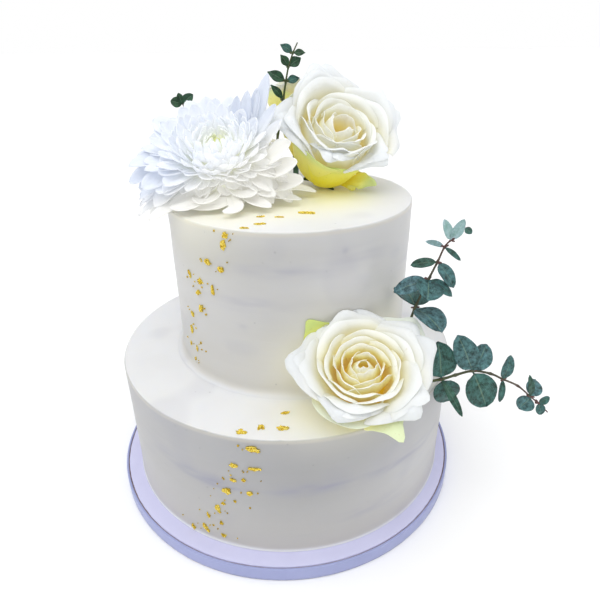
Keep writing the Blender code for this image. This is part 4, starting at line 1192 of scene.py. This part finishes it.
def foil(place, out, up, wide, high, draw):
    """Torn, crumpled scraps of gold leaf that lie over each other on the icing."""
    side = np.cross(up, out)
    wide, high = wide * FLAKE_SIZE, high * FLAKE_SIZE
    scraps = 1 if max(wide, high) < 2 else FLAKE_SCRAPS
    for _ in range(scraps):
        share = 1 if scraps == 1 else draw.uniform(0.35, 0.75)
        shift_x = draw.uniform(-0.5, 0.5) * (1 - share) * wide
        shift_y = draw.uniform(-0.5, 0.5) * (1 - share) * high
        middle = place + side * shift_x + up * shift_y
        turns = draw.uniform(0, math.tau) + np.arange(FLAKE_SPOKES) * math.tau / FLAKE_SPOKES
        reach = np.array([draw.uniform(0.45, 1.15) for _ in turns])
        rows = [np.repeat(middle[None], FLAKE_SPOKES, 0) + out * draw.uniform(0.2, 0.6)]
        for ring in range(FLAKE_RINGS):
            part = (ring + 1) / FLAKE_RINGS
            x = np.cos(turns) * reach * part * wide * share / 2
            y = np.sin(turns) * reach * part * high * share / 2
            lift = np.array([draw.uniform(0.06, 0.75) for _ in turns])
            rows.append(middle + side * x[:, None] + up * y[:, None] + out * lift[:, None])
        rows.append(rows[-1] - out * 0.9)
        grid = np.array(rows)
        grid[-1] += (middle - grid[-1]) * 0.04
        cap = np.arange(FLAKE_SPOKES)[::-1] + (len(rows) - 1) * FLAKE_SPOKES
        yield grid, (grid_faces(len(rows), FLAKE_SPOKES, closed=True), np.array([cap]))


def add_gold(name, tier, side_flakes, top_flakes, seed, gold):
    """The trail of gold leaf down one tier, with crumbs of it round the flakes."""
    draw = random.Random(seed)
    piece = Piece()

    def lay(angle, distance, height, wide, high, on_top=False):
        """Lay a flake on the side of the tier or on its top."""
        turn = math.radians(angle)
        out = np.array((math.cos(turn), math.sin(turn), 0))
        place = np.array((*tier["centre"], height)) + out * distance
        up = np.array((0, 0, 1.0))
        if on_top:
            out, up = up, np.array((0, 1.0, 0))
        for scrap in foil(place, out, up, wide, high, draw):
            piece.add(*scrap)

    crumbs = []
    for angle, height, wide, high in side_flakes:
        for _ in range(2):
            away = draw.uniform(3, 8)
            crumbs.append((angle + draw.choice((-1, 1)) * away / 1.6, height + draw.uniform(-5, 5)))
        lay(angle, tier["radius"], height, wide, high)
    for angle, height in crumbs:
        size = draw.uniform(0.5, 1.2)
        height = min(max(height, tier["bottom"] + 3), tier["top"] - 2)
        lay(angle, tier["radius"], height, size, size)
    for angle, distance, wide, high in top_flakes:
        lay(angle, distance, tier["top"], wide, high, on_top=True)
    piece.make(name, gold, (), smooth=False)


def add_light(name, kind, power, turn, **settings):
    """A lamp with this turn; its other settings are given by name."""
    lamp = bpy.data.lights.new(name, kind)
    lamp.energy = power
    for key, value in settings.items():
        setattr(lamp, key, value)
    obj = add_object(name, lamp)
    obj.rotation_euler = turn
    return obj


def add_studio():
    """A pale floor, soft light from above and from both sides, and a white surround."""
    made, tree, shader, place = surface("pale_floor", 0.9, Specular_IOR_Level=0.1)
    colour = colours(tree, grain(tree, place, 3), (0.3, (0.95, 0.95, 0.95)), (0.7, (0.96, 0.96, 0.96)))
    tree.links.new(colour, shader.inputs["Base Color"])
    mesh = bpy.data.meshes.new("floor")
    corners = [(x * FLOOR_REACH, y * FLOOR_REACH, 0) for x, y in ((-1, -1), (1, -1), (1, 1), (-1, 1))]
    mesh.from_pydata(corners, [], [(0, 1, 2, 3)])
    mesh.materials.append(made)
    add_object("floor", mesh)
    world = bpy.data.worlds.new("surround")
    world.use_nodes = True
    tree = world.node_tree
    way = put(tree, "ShaderNodeTexCoord").outputs["Generated"]
    rise = put(tree, "ShaderNodeSeparateXYZ", {"Vector": way}).outputs["Z"]
    dome = colours(tree, rise, (0.0, HORIZON), (0.1, HORIZON), (0.2, DOME), (1.0, DOME))
    tree.links.new(dome, tree.nodes["Background"].inputs["Color"])
    bpy.context.scene.world = world
    for name, power, softness, *turn in SUNS:
        add_light(name, "SUN", power, [math.radians(t) for t in turn], angle=math.radians(softness))
    for side, power in ((-1, LEFT_POWER), (1, RIGHT_POWER)):
        place = Vector((SIDE_LIGHT_PLACE[0] * side, *SIDE_LIGHT_PLACE[1:]))
        turn = (Vector(SIDE_LIGHT_TARGET) - place).to_track_quat("-Z", "Y").to_euler()
        add_light("side_light", "AREA", power, turn, size=SIDE_LIGHT_SIZE).location = place
    bpy.context.scene.view_settings.view_transform = "Standard"


def add_camera():
    """The photo's viewpoint."""
    data = bpy.data.cameras.new("camera")
    data.lens = CAMERA_LENS
    data.sensor_width = CAMERA_SENSOR
    obj = add_object("camera", data)
    axes = Matrix((CAMERA_RIGHT, CAMERA_UP, -CAMERA_AHEAD)).transposed()
    obj.matrix_world = Matrix.Translation(CAMERA_PLACE) @ axes.to_4x4()
    bpy.context.scene.camera = obj


add_camera()
add_studio()
icing = icing_surface()
gold = gold_surface()
petal = rose_surface()
white_petal = mum_surface()
leaf = leaf_surface()
bark = stem_surface()
add_board(
    paper_surface("lavender_paper", (0.62, 0.62, 0.84), (0.59, 0.59, 0.81)),
    paper_surface("lavender_edge_paper", (0.35, 0.38, 0.62), (0.32, 0.35, 0.59)),
    seam_surface(),
)
add_tier("lower_icing", "lower_tier", LOWER, LOWER_SMEARS, LOWER_SHADES, LOWER_PAINTED_LIGHT, 1, icing)
add_tier("upper_icing", "upper_tier", UPPER, UPPER_SMEARS, UPPER_SHADES, UPPER_PAINTED_LIGHT, 2, icing)
add_gold("lower_gold_leaf", LOWER, LOWER_SIDE_FLAKES, LEDGE_FLAKES, 3, gold)
add_gold("upper_gold_leaf", UPPER, UPPER_SIDE_FLAKES, TOP_FLAKES, 5, gold)
add_rose("ledge_rose_petals", "ledge_rose", LEDGE_ROSE, ROSE_LAYERS, LEDGE_GUARDS, 11, petal, leaf)
add_rose("top_rose_petals", "top_rose", TOP_ROSE, ROSE_LAYERS[1:], TOP_GUARDS, 12, petal, leaf)
add_rose("back_rose_petals", "back_rose", BACK_ROSE, ROSE_LAYERS[2:8], BACK_GUARDS, 13, petal, leaf)
add_chrysanthemum("chrysanthemum_petals", "chrysanthemum", white_petal, leaf)
for name, node, stem, leaves, blooms, point, seed, redness in (
    ("sprig_upright", "sprig_ledge_upright", UPRIGHT_STEM, UPRIGHT_LEAVES, UPRIGHT_BLOOMS, 0.05, 21, 1),
    ("sprig_side", "sprig_ledge_side", SIDE_STEM, SIDE_LEAVES, SIDE_BLOOMS, 0, 22, 1),
    ("sprig_top", "sprig_top_upright", TOP_STEM, TOP_LEAVES, TOP_BLOOMS, 0.8, 23, 0.1),
    ("sprig_left", "sprig_top_left", LEFT_STEM, LEFT_LEAVES, LEFT_BLOOMS, 0.1, 24, 0.3),
):
    add_sprig(name, node, stem, leaves, blooms, point, seed, leaf, bark, redness)
